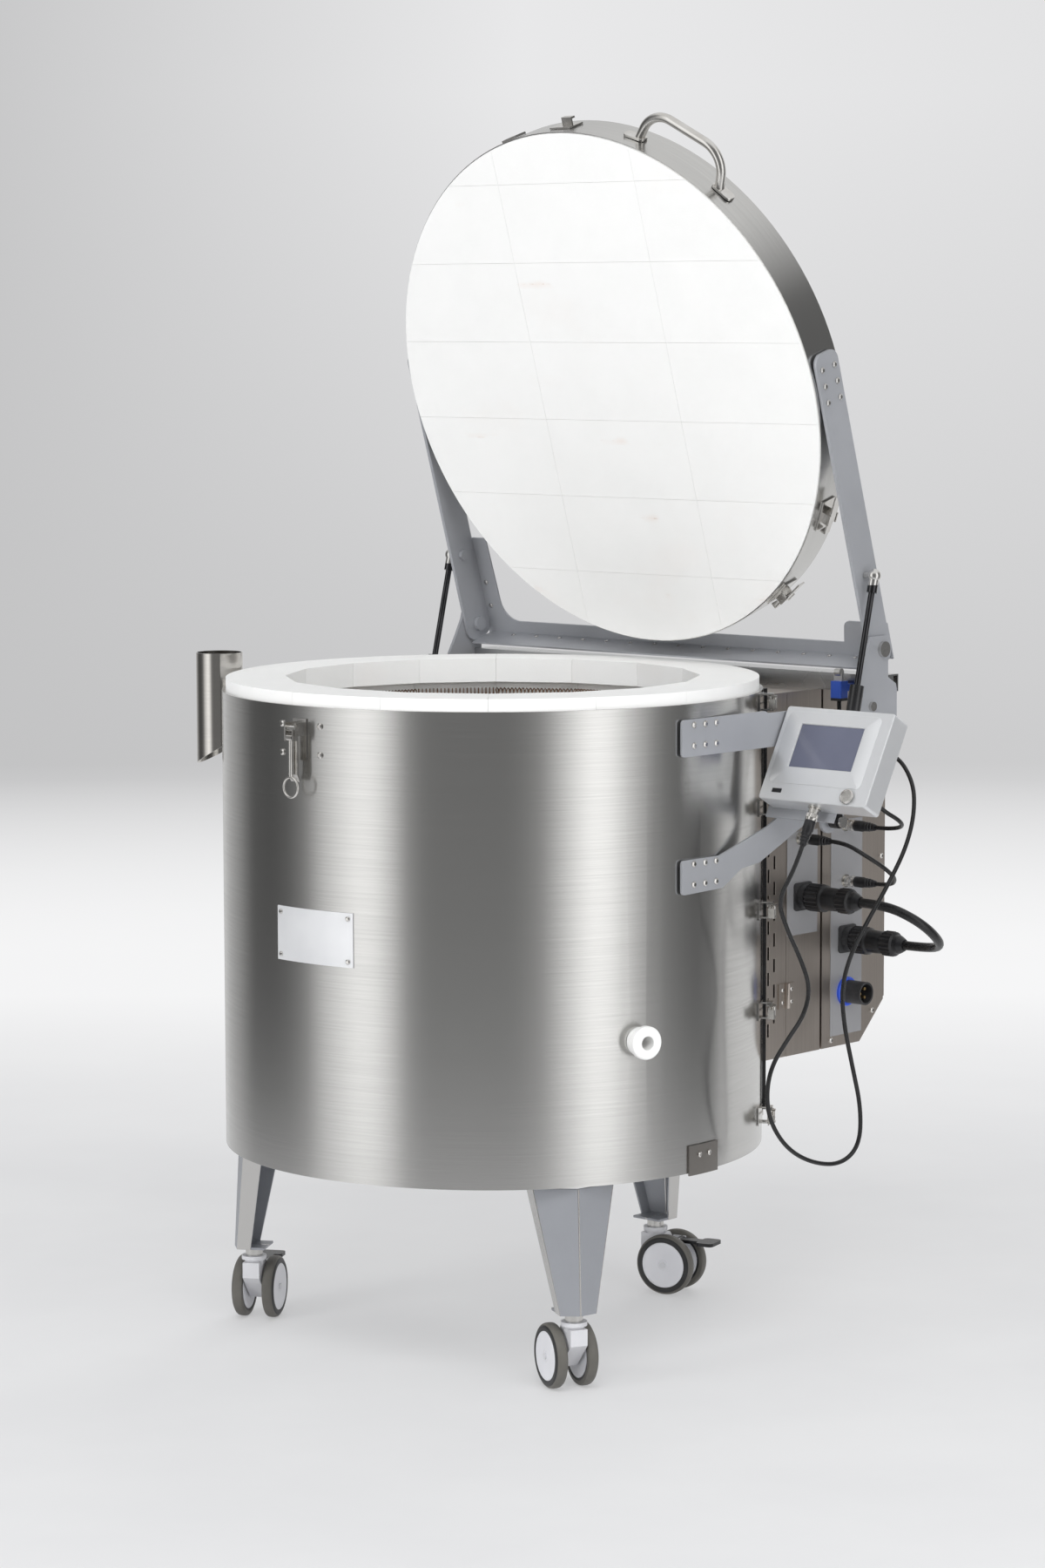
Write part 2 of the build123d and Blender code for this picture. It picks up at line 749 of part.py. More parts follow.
def control_cabinet():
    """Folded housing with a screwed rear sheet and spacers to the terminal cover."""
    chamfer_y, chamfer_z = cabinet_chamfer
    outline = [(cabinet_front, box_bottom), (chamfer_y, box_bottom), (cabinet_rear, chamfer_z),
               (cabinet_rear, box_top), (cabinet_front, box_top)]
    inner = [(cabinet_front + sheet, box_bottom + sheet), (chamfer_y - 0.6, box_bottom + sheet),
             (cabinet_rear - sheet, chamfer_z + 0.6), (cabinet_rear - sheet, box_top - sheet),
             (cabinet_front + sheet, box_top - sheet)]
    shell = profile_x(outline, -box_half_width, box_half_width)
    shell -= profile_x(inner, -box_half_width + sheet, box_half_width - sheet)
    shell -= block(-box_half_width - 1, box_half_width + 1, cabinet_rear - sheet - rest_gap, cabinet_rear + 1,
                   box_bottom - 1, box_top + 1)
    back = block(-box_half_width, box_half_width, cabinet_rear - sheet, cabinet_rear, chamfer_z + 2, box_top)
    spacers = []
    for x in (-200, 200):
        for z in (box_bottom + 40, box_top - 40):
            spacers.append(rod((x, cover_rear, z), (x, cabinet_front + 0.5, z), 9))
    for spacer in spacers:
        shell += spacer
    return shell, back


# Connectors

def side_place(place, x=box_half_width):
    """Plane on the side of the rear boxes, facing outward."""
    return Plane(origin=(x, place[0], place[1]), z_dir=(1, 0, 0))


def small_socket(place):
    return turned([(0, 8.5), (2.5, 8.5), (2.5, 6.5), (small_socket_length, 6.5)], place)


def small_plug(place):
    """Screw-ring plug with a tapered boot, drawn from its socket outward."""
    knurl = 16.0
    steps = [(0, 7.5), (knurl, 7.5), (knurl, 6.6), (knurl + 12, 6.6), (knurl + 13, 5.2), (small_plug_length, 3.6)]
    return turned(steps, place)


def big_socket(place):
    flange = place * extrude(RectangleRounded(36, 36, 5), 3)
    return flange + turned([(0, 15.5), (big_socket_length, 15.5)], place)


def big_plug(place):
    """Heavy coupler: collar, body, gland nut and boot."""
    steps = [(0, 18), (25, 18), (27, 15), (48, 15), (48, 13), (50, 16.5), (66, 16.5), (68, 12),
             (big_plug_length, 7.5)]
    return turned(steps, place)


def power_inlet():
    """Flanged inlet with three pins in its mouth."""
    place = side_place(inlet)
    flange = turned([(0, 19), (4, 19), (5, 17.5)], place)
    barrel = turned([(4, 15), (34, 15)], place) - turned([(14, 12.5), (35, 12.5)], place)
    shell = flange + barrel
    for angle in (90, 210, 330):
        pin = Pos(*[6.5 * value for value in (cos(radians(angle)), sin(radians(angle)))], 13) * Cylinder(2, 16, align=(
            Align.CENTER, Align.CENTER, Align.MIN))
        shell += place * pin
    return shell


def panel_frame():
    """Plane on the panel's face with its origin at the top left corner, Y up the face, Z to the viewer."""
    lean = radians(panel_lean)
    return Plane(origin=(panel_left, *panel_top), x_dir=(1, 0, 0), z_dir=(0, -cos(lean), sin(lean)))


def panel_point(across, drop, depth):
    """Point given by its distances from the face's top left corner and behind the face."""
    return panel_frame().from_local_coords(Vector(across, -drop, -depth))


def panel_socket_place():
    """Plane at the socket under the panel, facing down along the panel."""
    lean = radians(panel_lean)
    origin = panel_point(panel_socket_across, panel_height, panel_depth / 2)
    return Plane(origin=origin, z_dir=(0, -sin(lean), -cos(lean)))


def sockets():
    small = [small_socket(side_place(place)) for place in
             (cover_small, cabinet_small_high, cabinet_small_low, cabinet_hidden)]
    big = [big_socket(side_place(place)) for place in (cover_big, cabinet_big)]
    return *small, *big, power_inlet(), small_socket(panel_socket_place())


def cord_plugs():
    """Plugs on the free ends of the cords."""
    reach = box_half_width + small_socket_length
    small = [small_plug(side_place(place, reach)) for place in
             (cover_small, cabinet_small_high, cabinet_small_low, cabinet_hidden)]
    reach = box_half_width + big_socket_length
    big = [big_plug(side_place(place, reach)) for place in (cover_big, cabinet_big)]
    return *small, *big, small_plug(panel_socket_place().offset(small_socket_length))


# Panel

def panel_bracket():
    """Flat plate with two screwed arms and a folded back flange that carries the panel."""
    outline = [(-39, 809), (120, 809), (126, 806), (176, 806), (203, 795), (206, 676), (194, 660), (109, 623), (75, 619), (38, 599),
               (-39, 597), (-39, 639), (33, 639), (125, 666), (158, 682), (158, 764), (-39, 764)]
    arm = profile_x(outline, arm_plate_x, arm_plate_x + plate, rounded=5)
    flange = panel_frame() * Pos(0, 0, -panel_depth - rest_gap)
    sheet_low = block(arm_plate_x - panel_left + 1, 100, -panel_height - 12, -8, -plate, 0)
    return arm + flange * sheet_low


def panel_housing():
    """Shallow box with a screen window, a button bore and a small port flap."""
    body = block(0, panel_width, -panel_height, 0, -panel_depth, 0)
    body = fillet(body.edges().filter_by(Axis.Z), 4)
    body = chamfer(body.faces().sort_by(Axis.Z)[-1].edges(), 1)
    window = block(screen_left, screen_left + screen_width, -screen_drop - screen_height, -screen_drop, -2, 1)
    button = Pos(button_across, -button_drop, -8) * Cylinder(button_radius - 2 + running_gap, 20)
    flap = block(17.5, 32.5, -115, -109, -1, 1)
    return panel_frame() * (body - window - button - flap)


def panel_screen():
    gap = rest_gap
    face = block(screen_left + gap, screen_left + screen_width - gap, -screen_drop - screen_height + gap,
                 -screen_drop - gap, -2, -0.4)
    return panel_frame() * face


def panel_button():
    """Round metal push button; its head stands proud by its travel and a little more."""
    head_low = button_travel + 0.4
    steps = [(-12, button_radius - 2), (head_low, button_radius - 2), (head_low, button_radius),
             (head_low + 2.2, button_radius), (head_low + 3, button_radius - 1)]
    return turned(steps, panel_frame() * Plane(origin=(button_across, -button_drop, 0)))


# Lid, drawn closed and then opened

def lid_bricks():
    bricks = tiles(lid_radius - jacket_sheet - rest_gap, lid_low, lid_high - jacket_sheet - rest_gap,
                   [-joint for joint in reversed(lid_row_joints)], lid_column_joints)
    return [open_lid(brick) for brick in bricks]


def lid_pan():
    """Band and back sheet in one."""
    outer = disc(lid_radius, lid_low + lid_face_proud, lid_high)
    return open_lid(outer - disc(lid_radius - jacket_sheet, lid_low, lid_high - jacket_sheet))


def arm_point(reach, drop):
    """Y and Z of a point on the closed lid's arm: along the arm and below the pivot."""
    return (pivot_y - reach, pivot_z - drop)


def lid_arm(side):
    """Flat arm from the pivot to the middle of the lid, with its six screws."""
    half = arm_width / 2
    end = -arm_end_past_pivot
    outline = [arm_point(end, -half), arm_point(arm_reach, -half), arm_point(arm_reach, half), arm_point(end, half)]
    arm = profile_x(outline, arm_inner, arm_outer, rounded=14)
    arm -= rod((arm_inner - 1, pivot_y, pivot_z), (arm_outer + 1, pivot_y, pivot_z), pivot_bolt_radius + running_gap)
    heads = []
    for reach in arm_screw_reaches:
        for drop in (-arm_screw_offset, arm_screw_offset):
            heads.append(screw(Plane(origin=(arm_outer, *arm_point(reach, drop)), z_dir=(1, 0, 0)), 4))
    nut = Plane(origin=(arm_inner, *arm_point(strut_arm_reach, strut_arm_drop)), z_dir=(-1, 0, 0)) * extrude(
        RegularPolygon(7, 6), 5)
    pieces = [arm, *heads, nut]
    if side < 0:
        pieces = [piece.mirror(Plane.YZ) for piece in pieces]
    return [open_lid(piece) for piece in pieces]


def lid_crossbar():
    """Folded sheet between the arms, with a tall gusset on the left and a short tab on the right."""
    low = -crossbar_flange_reach
    top = -crossbar_low
    left = -arm_outer
    outline = [(left, low), (left, gusset_height - 5), (left + 5, gusset_height), (left + gusset_width, gusset_height),
               (left + gusset_width + 4, top), (arm_outer - tab_width, top), (arm_outer - tab_width + 6, tab_height),
               (arm_outer, tab_height), (arm_outer, low)]
    flat = Polygon(*[(x, pivot_y - reach) for x, reach in outline], align=None)
    inner = [v for v in flat.vertices() if abs(v.X - (left + gusset_width + 4)) < 0.1]
    flat = fillet(inner, 30)
    tab = [v for v in flat.vertices() if abs(v.X - (arm_outer - tab_width + 6)) < 0.1]
    flat = fillet(tab, 10)
    back = pivot_z + arm_width / 2
    web = Pos(0, 0, back) * extrude(flat, crossbar_sheet, dir=(0, 0, 1))
    flange_y = pivot_y + crossbar_flange_reach
    flange = block(-arm_inner + rest_gap, arm_inner - rest_gap, flange_y - crossbar_sheet, flange_y,
                   back - crossbar_flange_depth, back + crossbar_sheet)
    rivets = []
    for number in range(-rivets_each_side, rivets_each_side + 1):
        place = Plane(origin=(number * rivet_pitch, flange_y - crossbar_sheet, back - 9), z_dir=(0, -1, 0))
        rivets.append(open_lid(screw(place, 3, 1.6)))
    for reach in (18, 52):
        place = Plane(origin=(left + 14, pivot_y - reach, back), z_dir=(0, 0, -1))
        rivets.append(open_lid(screw(place, 3.4, 1.8)))
    return open_lid(web + flange), *rivets


def lid_handle():
    """Bent tube with flattened feet."""
    middle = (lid_low + lid_high) / 2
    place = on_drum(handle_angle, middle, 0)
    half = handle_span / 2
    foot = sqrt(lid_radius ** 2 - half ** 2) + rest_gap
    top = lid_radius + handle_stand_off
    pad_lift = rest_gap + 0.4
    points = [(-half, 0, foot + 2.5), (-half + 6, 0, top), (half - 6, 0, top), (half, 0, foot + 2.5)]
    grip = bent_wire(points, handle_tube_radius, handle_bend)
    shape = grip
    for side in (-1, 1):
        tilt = degrees(atan2(half + 10, lid_radius))
        pad = Rot(0, side * tilt, 0) * Pos(0, 0, lid_radius + pad_lift) * extrude(RectangleRounded(30, 15, 6), 3)
        shape += pad
    return open_lid(place * shape)


def band_place(angle, height=None):
    """Plane on the closed lid's band."""
    middle = (lid_low + lid_high) / 2 if height is None else height
    return on_drum(angle, middle, lid_radius)


def band_plate(angle, width, tall, thickness):
    """Small plate that lies on the band."""
    half = degrees(width / 2 / lid_radius)
    middle = (lid_low + lid_high) / 2
    return sector(lid_radius + rest_gap, lid_radius + rest_gap + thickness, angle - half, angle + half,
                  middle - tall / 2, middle + tall / 2)


def lid_latches():
    """Front catch hook, two clamps and two small plates on the band."""
    pieces = []
    catch = band_plate(catch_angle, 34, 26, 2)
    hook = block(-8, 8, 2, 4.5, 1, 11) + block(-8, 8, 2, 10, 8.5, 11)
    pieces.append(catch + band_place(catch_angle) * hook)
    for angle in clamp_angles:
        base = band_plate(angle, 44, 24, 2)
        ears = block(-6, 8, -9, -7, 1, 14) + block(-6, 8, 7, 9, 1, 14)
        lever = block(-34, 6, -6, 6, 11, 13) + rod((0, -9, 10), (0, 9, 10), 2.5)
        hook = block(2, 24, -5, 5, 9, 11) + block(21.5, 24, -5, 5, 3, 11)
        pieces.append(base + band_place(angle) * (ears + lever + hook))
    for angle in band_plate_angles:
        pieces.append(band_plate(angle, 26, 20, 3))
    return [open_lid(piece) for piece in pieces]


# Hinge brackets, beam and struts

def hinge_bracket(side):
    """Side plate with the lid's pivot bolt and the strut's lower pin."""
    y, z = strut_low
    outline = [(321, 889), (354, 889), (357, 885), (357, 836), (362, 833), (373, 827), (375.5, 820), (375.5, 770),
               (y + 12, z - 12), (y - 10, z + 10), (286, 775), (298, 802), (293, 834), (307, 858), (318, 879)]
    web = profile_x(outline, bracket_inner, bracket_outer)
    lug = rod((bracket_inner, y, z), (bracket_outer, y, z), 16)
    pin = rod((bracket_outer - 1, y, z), (strut_x + 10.5, y, z), strut_pin_radius)
    pin_head = rod((strut_x + 9, y, z), (strut_x + 12, y, z), 7.5)
    bolt = rod((arm_inner - 6, pivot_y, pivot_z), (bracket_outer + 1, pivot_y, pivot_z), pivot_bolt_radius)
    bolt_head = rod((bracket_outer, pivot_y, pivot_z), (bracket_outer + 5, pivot_y, pivot_z), 10)
    nut = rod((arm_inner - 6, pivot_y, pivot_z), (arm_inner - rest_gap, pivot_y, pivot_z), 9.5)
    lower_bolt = rod((bracket_outer, 323, 801), (bracket_outer + 4, 323, 801), 6)
    shape = web + lug + pin + pin_head + bolt + bolt_head + nut + lower_bolt
    return shape if side > 0 else shape.mirror(Plane.YZ)


def cross_beam():
    """Folded channel that joins the brackets on top of the rear boxes."""
    rear = beam_front + beam_depth
    outline = [(beam_front, box_top), (beam_front, beam_top), (rear, beam_top), (rear, box_top),
               (rear - beam_sheet, box_top), (rear - beam_sheet, beam_top - beam_sheet),
               (beam_front + beam_sheet, beam_top - beam_sheet), (beam_front + beam_sheet, box_top)]
    half = bracket_inner - rest_gap
    channel = profile_x(outline, -half, half)
    for side in (-1, 1):
        low = min(side * half, side * (half - beam_sheet))
        channel += block(low, low + beam_sheet, beam_front, rear - 10, box_top - 40, beam_top)
    return channel


def strut_angle():
    """Lean of the open strut from upright, toward the rear."""
    top_y, top_z = strut_top()
    return degrees(atan2(top_y - strut_low[0], top_z - strut_low[1]))


def strut_top():
    """Y and Z of the strut's upper pin with the lid open."""
    tilt = radians(90 - lid_travel)
    y = pivot_y - strut_arm_reach * sin(tilt) - strut_arm_drop * cos(tilt)
    z = pivot_z + strut_arm_reach * cos(tilt) - strut_arm_drop * sin(tilt)
    return (y, z)


def strut_length():
    top_y, top_z = strut_top()
    return hypot(top_y - strut_low[0], top_z - strut_low[1])


def strut_place(side):
    """Frame at the strut's lower pin with Z along the strut."""
    return Pos(side * strut_x, *strut_low) * Rot(-strut_angle(), 0, 0)


def strut_cylinder(side):
    """Cylinder with a flat eye on the lower pin and a bore for the rod."""
    body = Cylinder(strut_body_radius, strut_body_length - 12, align=(Align.CENTER, Align.CENTER, Align.MIN))
    eye = rod((-6, 0, 0), (6, 0, 0), strut_eye_radius)
    shape = Pos(0, 0, 12) * body + eye + block(-5, 5, -4.5, 4.5, 0, 14)
    shape -= rod((-8, 0, 0), (8, 0, 0), strut_pin_radius + running_gap)
    shape -= rod((0, 0, 22), (0, 0, strut_body_length + 1), strut_rod_radius + running_gap)
    return strut_place(side) * shape


def strut_rod(side):
    """Piston rod with its ball end and the stud that faces the lid's arm."""
    length = strut_length()
    piston = rod((0, 0, length - 178), (0, 0, length - 6), strut_rod_radius)
    end = rod((0, 0, length - 22), (0, 0, length - 4), 6.5)
    ball = Pos(0, 0, length) * Sphere(8.5)
    stud = rod((0, 0, length), (side * (arm_outer + rest_gap - strut_x), 0, length), 4)
    return strut_place(side) * (piston + end + ball + stud)


def limit_switch():
    """Switch body on a foot in front of the beam, with a roller lever."""
    body = block(*switch_x, *switch_y, *switch_z)
    body = fillet(body.edges().filter_by(Axis.Z), 2)
    foot = block(switch_x[0], switch_x[1], switch_y[1] - 1, beam_front, 817, 826)
    lever = block(switch_x[0] + 2, switch_x[1] - 2, 323, 326, switch_z[1] - 1, 841)
    roller = rod((switch_x[0] + 4, 325, 841), (switch_x[1] - 4, 325, 841), 5)
    return body + foot + lever + roller


def side_tube():
    """Open tube beside the drum, cut on the slant below, with its clip."""
    inner_side = lid_radius + tube_lid_gap
    centre = polar(inner_side + tube_radius, tube_angle)
    length = tube_top - tube_long
    tube = Pos(0, 0, tube_long) * (Cylinder(tube_radius, length, align=(Align.CENTER, Align.CENTER, Align.MIN))
                                   - Cylinder(tube_radius - tube_wall, length, align=(Align.CENTER, Align.CENTER, Align.MIN)))
    rise = tube_short - tube_long
    wedge = profile_x([(-2 * tube_radius, -60), (-2 * tube_radius, -rise / 2), (2 * tube_radius, 1.5 * rise),
                       (2 * tube_radius, -60)], -50, 50)
    wedge = Pos(0, 0, tube_long) * Rot(0, 0, 90) * wedge
    tube -= wedge
    tube = Pos(*centre) * Rot(0, 0, tube_angle) * tube
    strap = Rot(0, 0, tube_angle) * block(drum_radius - 2, inner_side + 1, -22, 22, 772, 800)
    strap -= disc(drum_radius + 0.2, 700, 900)
    bore = Pos(*centre) * disc(tube_radius - tube_wall, 700, 900)
    return tube + strap - bore


# Cords: routes chosen by hand, millimetres

panel_cord = [(402, 72, 585), (404, 88, 548), (400, 120, 508), (398, 142, 470), (394, 136, 436), (390, 110, 410),
              (385, 82, 378), (382, 76, 340), (381, 88, 303), (384, 118, 268), (390, 160, 246), (396, 208, 238),
              (402, 238, 258), (404, 238, 306), (402, 222, 362), (401, 206, 416), (400, 202, 464), (404, 218, 508),
              (408, 248, 546), (402, 295, 584), (392, 344, 624), (382, 374, 664), (366, 392, 702)]
jumper_cord = [(343, 323, 611), (352, 352, 593), (346, 384, 575)]
switch_cord = [(347, 397, 641), (356, 377, 652), (348, 352, 666), (332, 337, 690), (318, 329, 722), (305, 326, 753)]
heater_cord = [(418, 326, 537), (428, 352, 517), (418, 385, 496)]


def arc_radii(points):
    """Arc of each corner: as large as its two runs allow."""
    radii = []
    for before, here, after in zip(points, points[1:], points[2:]):
        first = Vector(*here) - Vector(*before)
        second = Vector(*after) - Vector(*here)
        turn = first.get_angle(second)
        radii.append(0.45 * min(first.length, second.length) / tan(radians(turn / 2)))
    return radii


def cord(name, points, radius):
    """Plain tube along a route, with its radii printed."""
    radii = arc_radii(points)
    print(name, "smallest arc", round(min(radii), 1), "radii", [round(value) for value in radii])
    shape = bent_wire(points, radius, radii)
    path = FilletPolyline(*points, radius=radii)
    print(name, "volume ratio", round(shape.volume / (3.14159265 * radius ** 2 * path.length), 4))
    save(name, shape)


def cords():
    thin_reach = box_half_width + small_socket_length + small_plug_length
    thick_reach = box_half_width + big_socket_length + big_plug_length
    panel_end = panel_socket_place().offset(small_socket_length + small_plug_length)
    start = panel_end.origin
    second = start + panel_end.z_dir * 30
    hidden = [(thin_reach + 30, *cabinet_hidden), (thin_reach, *cabinet_hidden)]
    cord("panel_cord", [tuple(start), tuple(second), *panel_cord, *hidden], thin_cord_radius)
    route = [(thin_reach, *cover_small), (thin_reach + 22, *cover_small), *jumper_cord,
             (thin_reach + 24, *cabinet_small_low), (thin_reach, *cabinet_small_low)]
    cord("thermocouple_cord", route, thin_cord_radius)
    switch_end = ((switch_x[0] + switch_x[1]) / 2, (switch_y[0] + switch_y[1]) / 2)
    route = [(thin_reach, *cabinet_small_high), (thin_reach + 22, *cabinet_small_high), *switch_cord,
             (*switch_end, switch_z[0] - 22), (*switch_end, switch_z[0])]
    cord("switch_cord", route, thin_cord_radius)
    route = [(thick_reach, *cover_big), (thick_reach + 40, *cover_big), *heater_cord,
             (thick_reach + 40, *cabinet_big), (thick_reach, *cabinet_big)]
    cord("heater_cord", route, thick_cord_radius)


save("drum_jacket", drum_jacket())
save("seam_strip", seam_strip())
save("base_plate", disc(jacket_inner - rest_gap, drum_bottom, drum_bottom + base_sheet))
save("insulation", *insulation())
save("floor_bricks", *floor_bricks())
save("wall_bricks", *wall_bricks())
save("heating_elements", *heating_elements())
save("thermocouple", thermocouple())
save("spy_plug", spy_plug())
save("legs", *[leg(angle) for angle in leg_angles])
save("body_plates", *body_plates())
save("body_screws", *body_screws())
latch_pieces = [front_latch_base()]
for height in seam_latch_heights:
    latch_pieces += seam_latch_base(height)
save("latch_bases", *latch_pieces)
save("panel_bracket", panel_bracket())
save("panel_housing", panel_housing())
save("panel_screen", panel_screen())
save("panel_button", panel_button())
save("hinge_brackets", hinge_bracket(1), hinge_bracket(-1))
save("cross_beam", cross_beam())
save("limit_switch", limit_switch())
save("element_box", *element_box())
save("terminal_cover", *terminal_cover())
save("control_cabinet", *control_cabinet())
save("sockets", *sockets())
save("cord_plugs", *cord_plugs())
save("side_tube", side_tube())
save("lid_bricks", *lid_bricks())
save("lid_pan", lid_pan())
save("lid_arms", *lid_arm(1), *lid_arm(-1))
save("lid_crossbar", *lid_crossbar())
save("lid_handle", lid_handle())
save("lid_latches", *lid_latches())
save("front_latch_lever", front_latch_lever())
save("front_latch_bail", front_latch_bail())
for number, side in enumerate((1, -1)):
    name = ("right", "left")[number]
    save(f"strut_cylinder_{name}", strut_cylinder(side))
    save(f"strut_rod_{name}", strut_rod(side))
for number, height in enumerate(seam_latch_heights, start=1):
    save(f"seam_lever_{number}", seam_lever(height))
    save(f"seam_loop_{number}", seam_loop(height))
for index, name in enumerate(("left", "front", "rear")):
    save(f"caster_fork_{name}", caster_fork(index))
    save(f"caster_wheels_{name}", *caster_wheels(index))
    if braked[index]:
        save(f"brake_pedal_{name}", brake_pedal(index))
cords()
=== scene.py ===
import math

import bpy
from mathutils import Matrix, Vector


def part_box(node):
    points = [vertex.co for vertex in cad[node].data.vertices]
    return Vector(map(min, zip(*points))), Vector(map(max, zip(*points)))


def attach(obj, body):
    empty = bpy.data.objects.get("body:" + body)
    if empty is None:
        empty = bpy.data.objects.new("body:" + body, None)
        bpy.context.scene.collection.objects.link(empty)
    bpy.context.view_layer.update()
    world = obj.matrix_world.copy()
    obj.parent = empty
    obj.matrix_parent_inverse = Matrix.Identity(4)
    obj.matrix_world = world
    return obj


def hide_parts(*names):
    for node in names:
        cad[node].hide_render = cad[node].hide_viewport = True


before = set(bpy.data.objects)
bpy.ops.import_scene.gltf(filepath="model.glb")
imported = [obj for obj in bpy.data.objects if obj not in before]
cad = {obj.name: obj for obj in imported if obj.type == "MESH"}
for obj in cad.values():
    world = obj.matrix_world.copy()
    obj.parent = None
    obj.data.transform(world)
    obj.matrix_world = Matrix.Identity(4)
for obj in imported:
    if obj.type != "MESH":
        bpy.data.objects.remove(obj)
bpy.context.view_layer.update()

scene = bpy.context.scene

# ---------------------------------------------------------------------------
# Camera
# A long lens stands to the front right, a little above the drum's rim. Its
# place was fitted to the outlines of the drum, the lid and the feet.
camera_turn = math.radians(42.079)
camera_dip = math.radians(6.341)
camera_roll = math.radians(-0.139)
focal_pixels = 4903
picture_height = 1800
sensor = 36.0


def add(name, data):
    """A new object in the scene."""
    made = bpy.data.objects.new(name, data)
    scene.collection.objects.link(made)
    return made


ahead = Vector((-math.sin(camera_turn) * math.cos(camera_dip),
                math.cos(camera_turn) * math.cos(camera_dip), -math.sin(camera_dip)))
level = Vector((math.cos(camera_turn), math.sin(camera_turn), 0))
upright = level.cross(ahead)
rolled = level * math.cos(camera_roll) + upright * math.sin(camera_roll)
risen = upright * math.cos(camera_roll) - level * math.sin(camera_roll)
lens = bpy.data.cameras.new("camera")
lens.sensor_width = sensor
lens.lens = focal_pixels / picture_height * sensor
lens.clip_end = 200
camera = add("camera", lens)
stand = Matrix((rolled, risen, -ahead)).transposed().to_4x4()
stand.translation = (3.6143, -3.9473, 1.2989)
camera.matrix_world = stand
scene.camera = camera
scene.view_settings.view_transform = "Standard"

# ---------------------------------------------------------------------------
# Cords
# Four rubber-sheathed leads on the right side: a long thin one that hangs from
# the panel, two short thin ones and one heavy one, each plugged in at both ends.


def tree_of(name):
    """A new material with its node tree and its Principled shader."""
    material = bpy.data.materials.new(name)
    material.use_nodes = True
    tree = material.node_tree
    tree.nodes.clear()
    shader = tree.nodes.new("ShaderNodeBsdfPrincipled")
    output = tree.nodes.new("ShaderNodeOutputMaterial")
    tree.links.new(shader.outputs[0], output.inputs[0])
    return material, tree, shader


def feed(tree, socket, value):
    """Set a socket, or link it where the value is another node's output."""
    if isinstance(value, bpy.types.NodeSocket):
        tree.links.new(value, socket)
    else:
        socket.default_value = value


def give(shader, title, value):
    """Set or link one input of a material's shader."""
    feed(shader.id_data, shader.inputs[title], value)


def node(tree, kind, inputs=(), **settings):
    """A node with its settings, and its inputs as pairs of name or number and value."""
    made = tree.nodes.new(kind)
    for key, value in settings.items():
        setattr(made, key, value)
    for key, value in dict(inputs).items():
        feed(tree, made.inputs[key], value)
    return made


def maths(tree, operation, *values):
    """One step of arithmetic on one, two or three values."""
    return node(tree, "ShaderNodeMath", dict(enumerate(values)), operation=operation).outputs[0]


def vector_maths(tree, operation, *values):
    """One step on vectors; a length, a distance or a dot product comes out as a number."""
    made = node(tree, "ShaderNodeVectorMath", dict(enumerate(values)), operation=operation)
    return made.outputs["Value" if operation in ("LENGTH", "DISTANCE", "DOT_PRODUCT") else "Vector"]


def mix_colour(tree, share, first, second):
    """Blend of two colours, each given by three numbers or by another node."""
    first, second = [colour if isinstance(colour, bpy.types.NodeSocket) else (*colour, 1)
                     for colour in (first, second)]
    return node(tree, "ShaderNodeMix", {"Factor": share, 6: first, 7: second}, data_type="RGBA").outputs[2]


def stretch(tree, value, low, high, to_low, to_high):
    """Map one range to another, and hold at its ends."""
    return node(tree, "ShaderNodeMapRange", {0: value, 1: low, 2: high, 3: to_low, 4: to_high}).outputs[0]


def noise(tree, vector, scale, detail, rough):
    return node(tree, "ShaderNodeTexNoise", {"Vector": vector, "Scale": scale, "Detail": detail,
                                             "Roughness": rough}).outputs["Fac"]


def split(tree, vector):
    """X, Y and Z of a vector."""
    return node(tree, "ShaderNodeSeparateXYZ", {0: vector}).outputs


def place(tree):
    """Position on the piece, which is the frame's own position at rest."""
    return node(tree, "ShaderNodeTexCoord").outputs["Object"]


def bump(tree, height, distance, under=None):
    """Surface relief, on top of another relief where one is given."""
    made = node(tree, "ShaderNodeBump", {"Height": height, "Distance": distance})
    if under is not None:
        tree.links.new(under, made.inputs["Normal"])
    return made.outputs["Normal"]


def new_group(name, inputs, outputs):
    """Empty node group with number outputs; its first input is a vector and the others are numbers."""
    group = bpy.data.node_groups.new(name, "ShaderNodeTree")
    for title in inputs:
        kind = "NodeSocketVector" if title == "Vector" else "NodeSocketFloat"
        group.interface.new_socket(title, in_out="INPUT", socket_type=kind)
    for title in outputs:
        group.interface.new_socket(title, in_out="OUTPUT", socket_type="NodeSocketFloat")
    return group, group.nodes.new("NodeGroupInput").outputs, group.nodes.new("NodeGroupOutput").inputs


def use_group(tree, group, *values):
    """A group's outputs, with its inputs filled in order."""
    return node(tree, "ShaderNodeGroup", dict(enumerate(values)), node_tree=group).outputs


def grain_group():
    """Uneven surface of moulded and sprayed things: broad clouds, fine grain and their height."""
    group, given, out = new_group("grain", ("Vector", "Grain size", "Cloud size"),
                                  ("Cloud", "Grain", "Height"))
    cloud = noise(group, given["Vector"], given["Cloud size"], 3, 0.55)
    grain = noise(group, given["Vector"], given["Grain size"], 2, 0.6)
    group.links.new(stretch(group, cloud, 0.3, 0.7, 0, 1), out["Cloud"])
    group.links.new(stretch(group, grain, 0.3, 0.7, 0, 1), out["Grain"])
    height = maths(group, "MULTIPLY_ADD", grain, 0.8, maths(group, "MULTIPLY", cloud, 0.2))
    group.links.new(height, out["Height"])
    return group


grain_tree = grain_group()


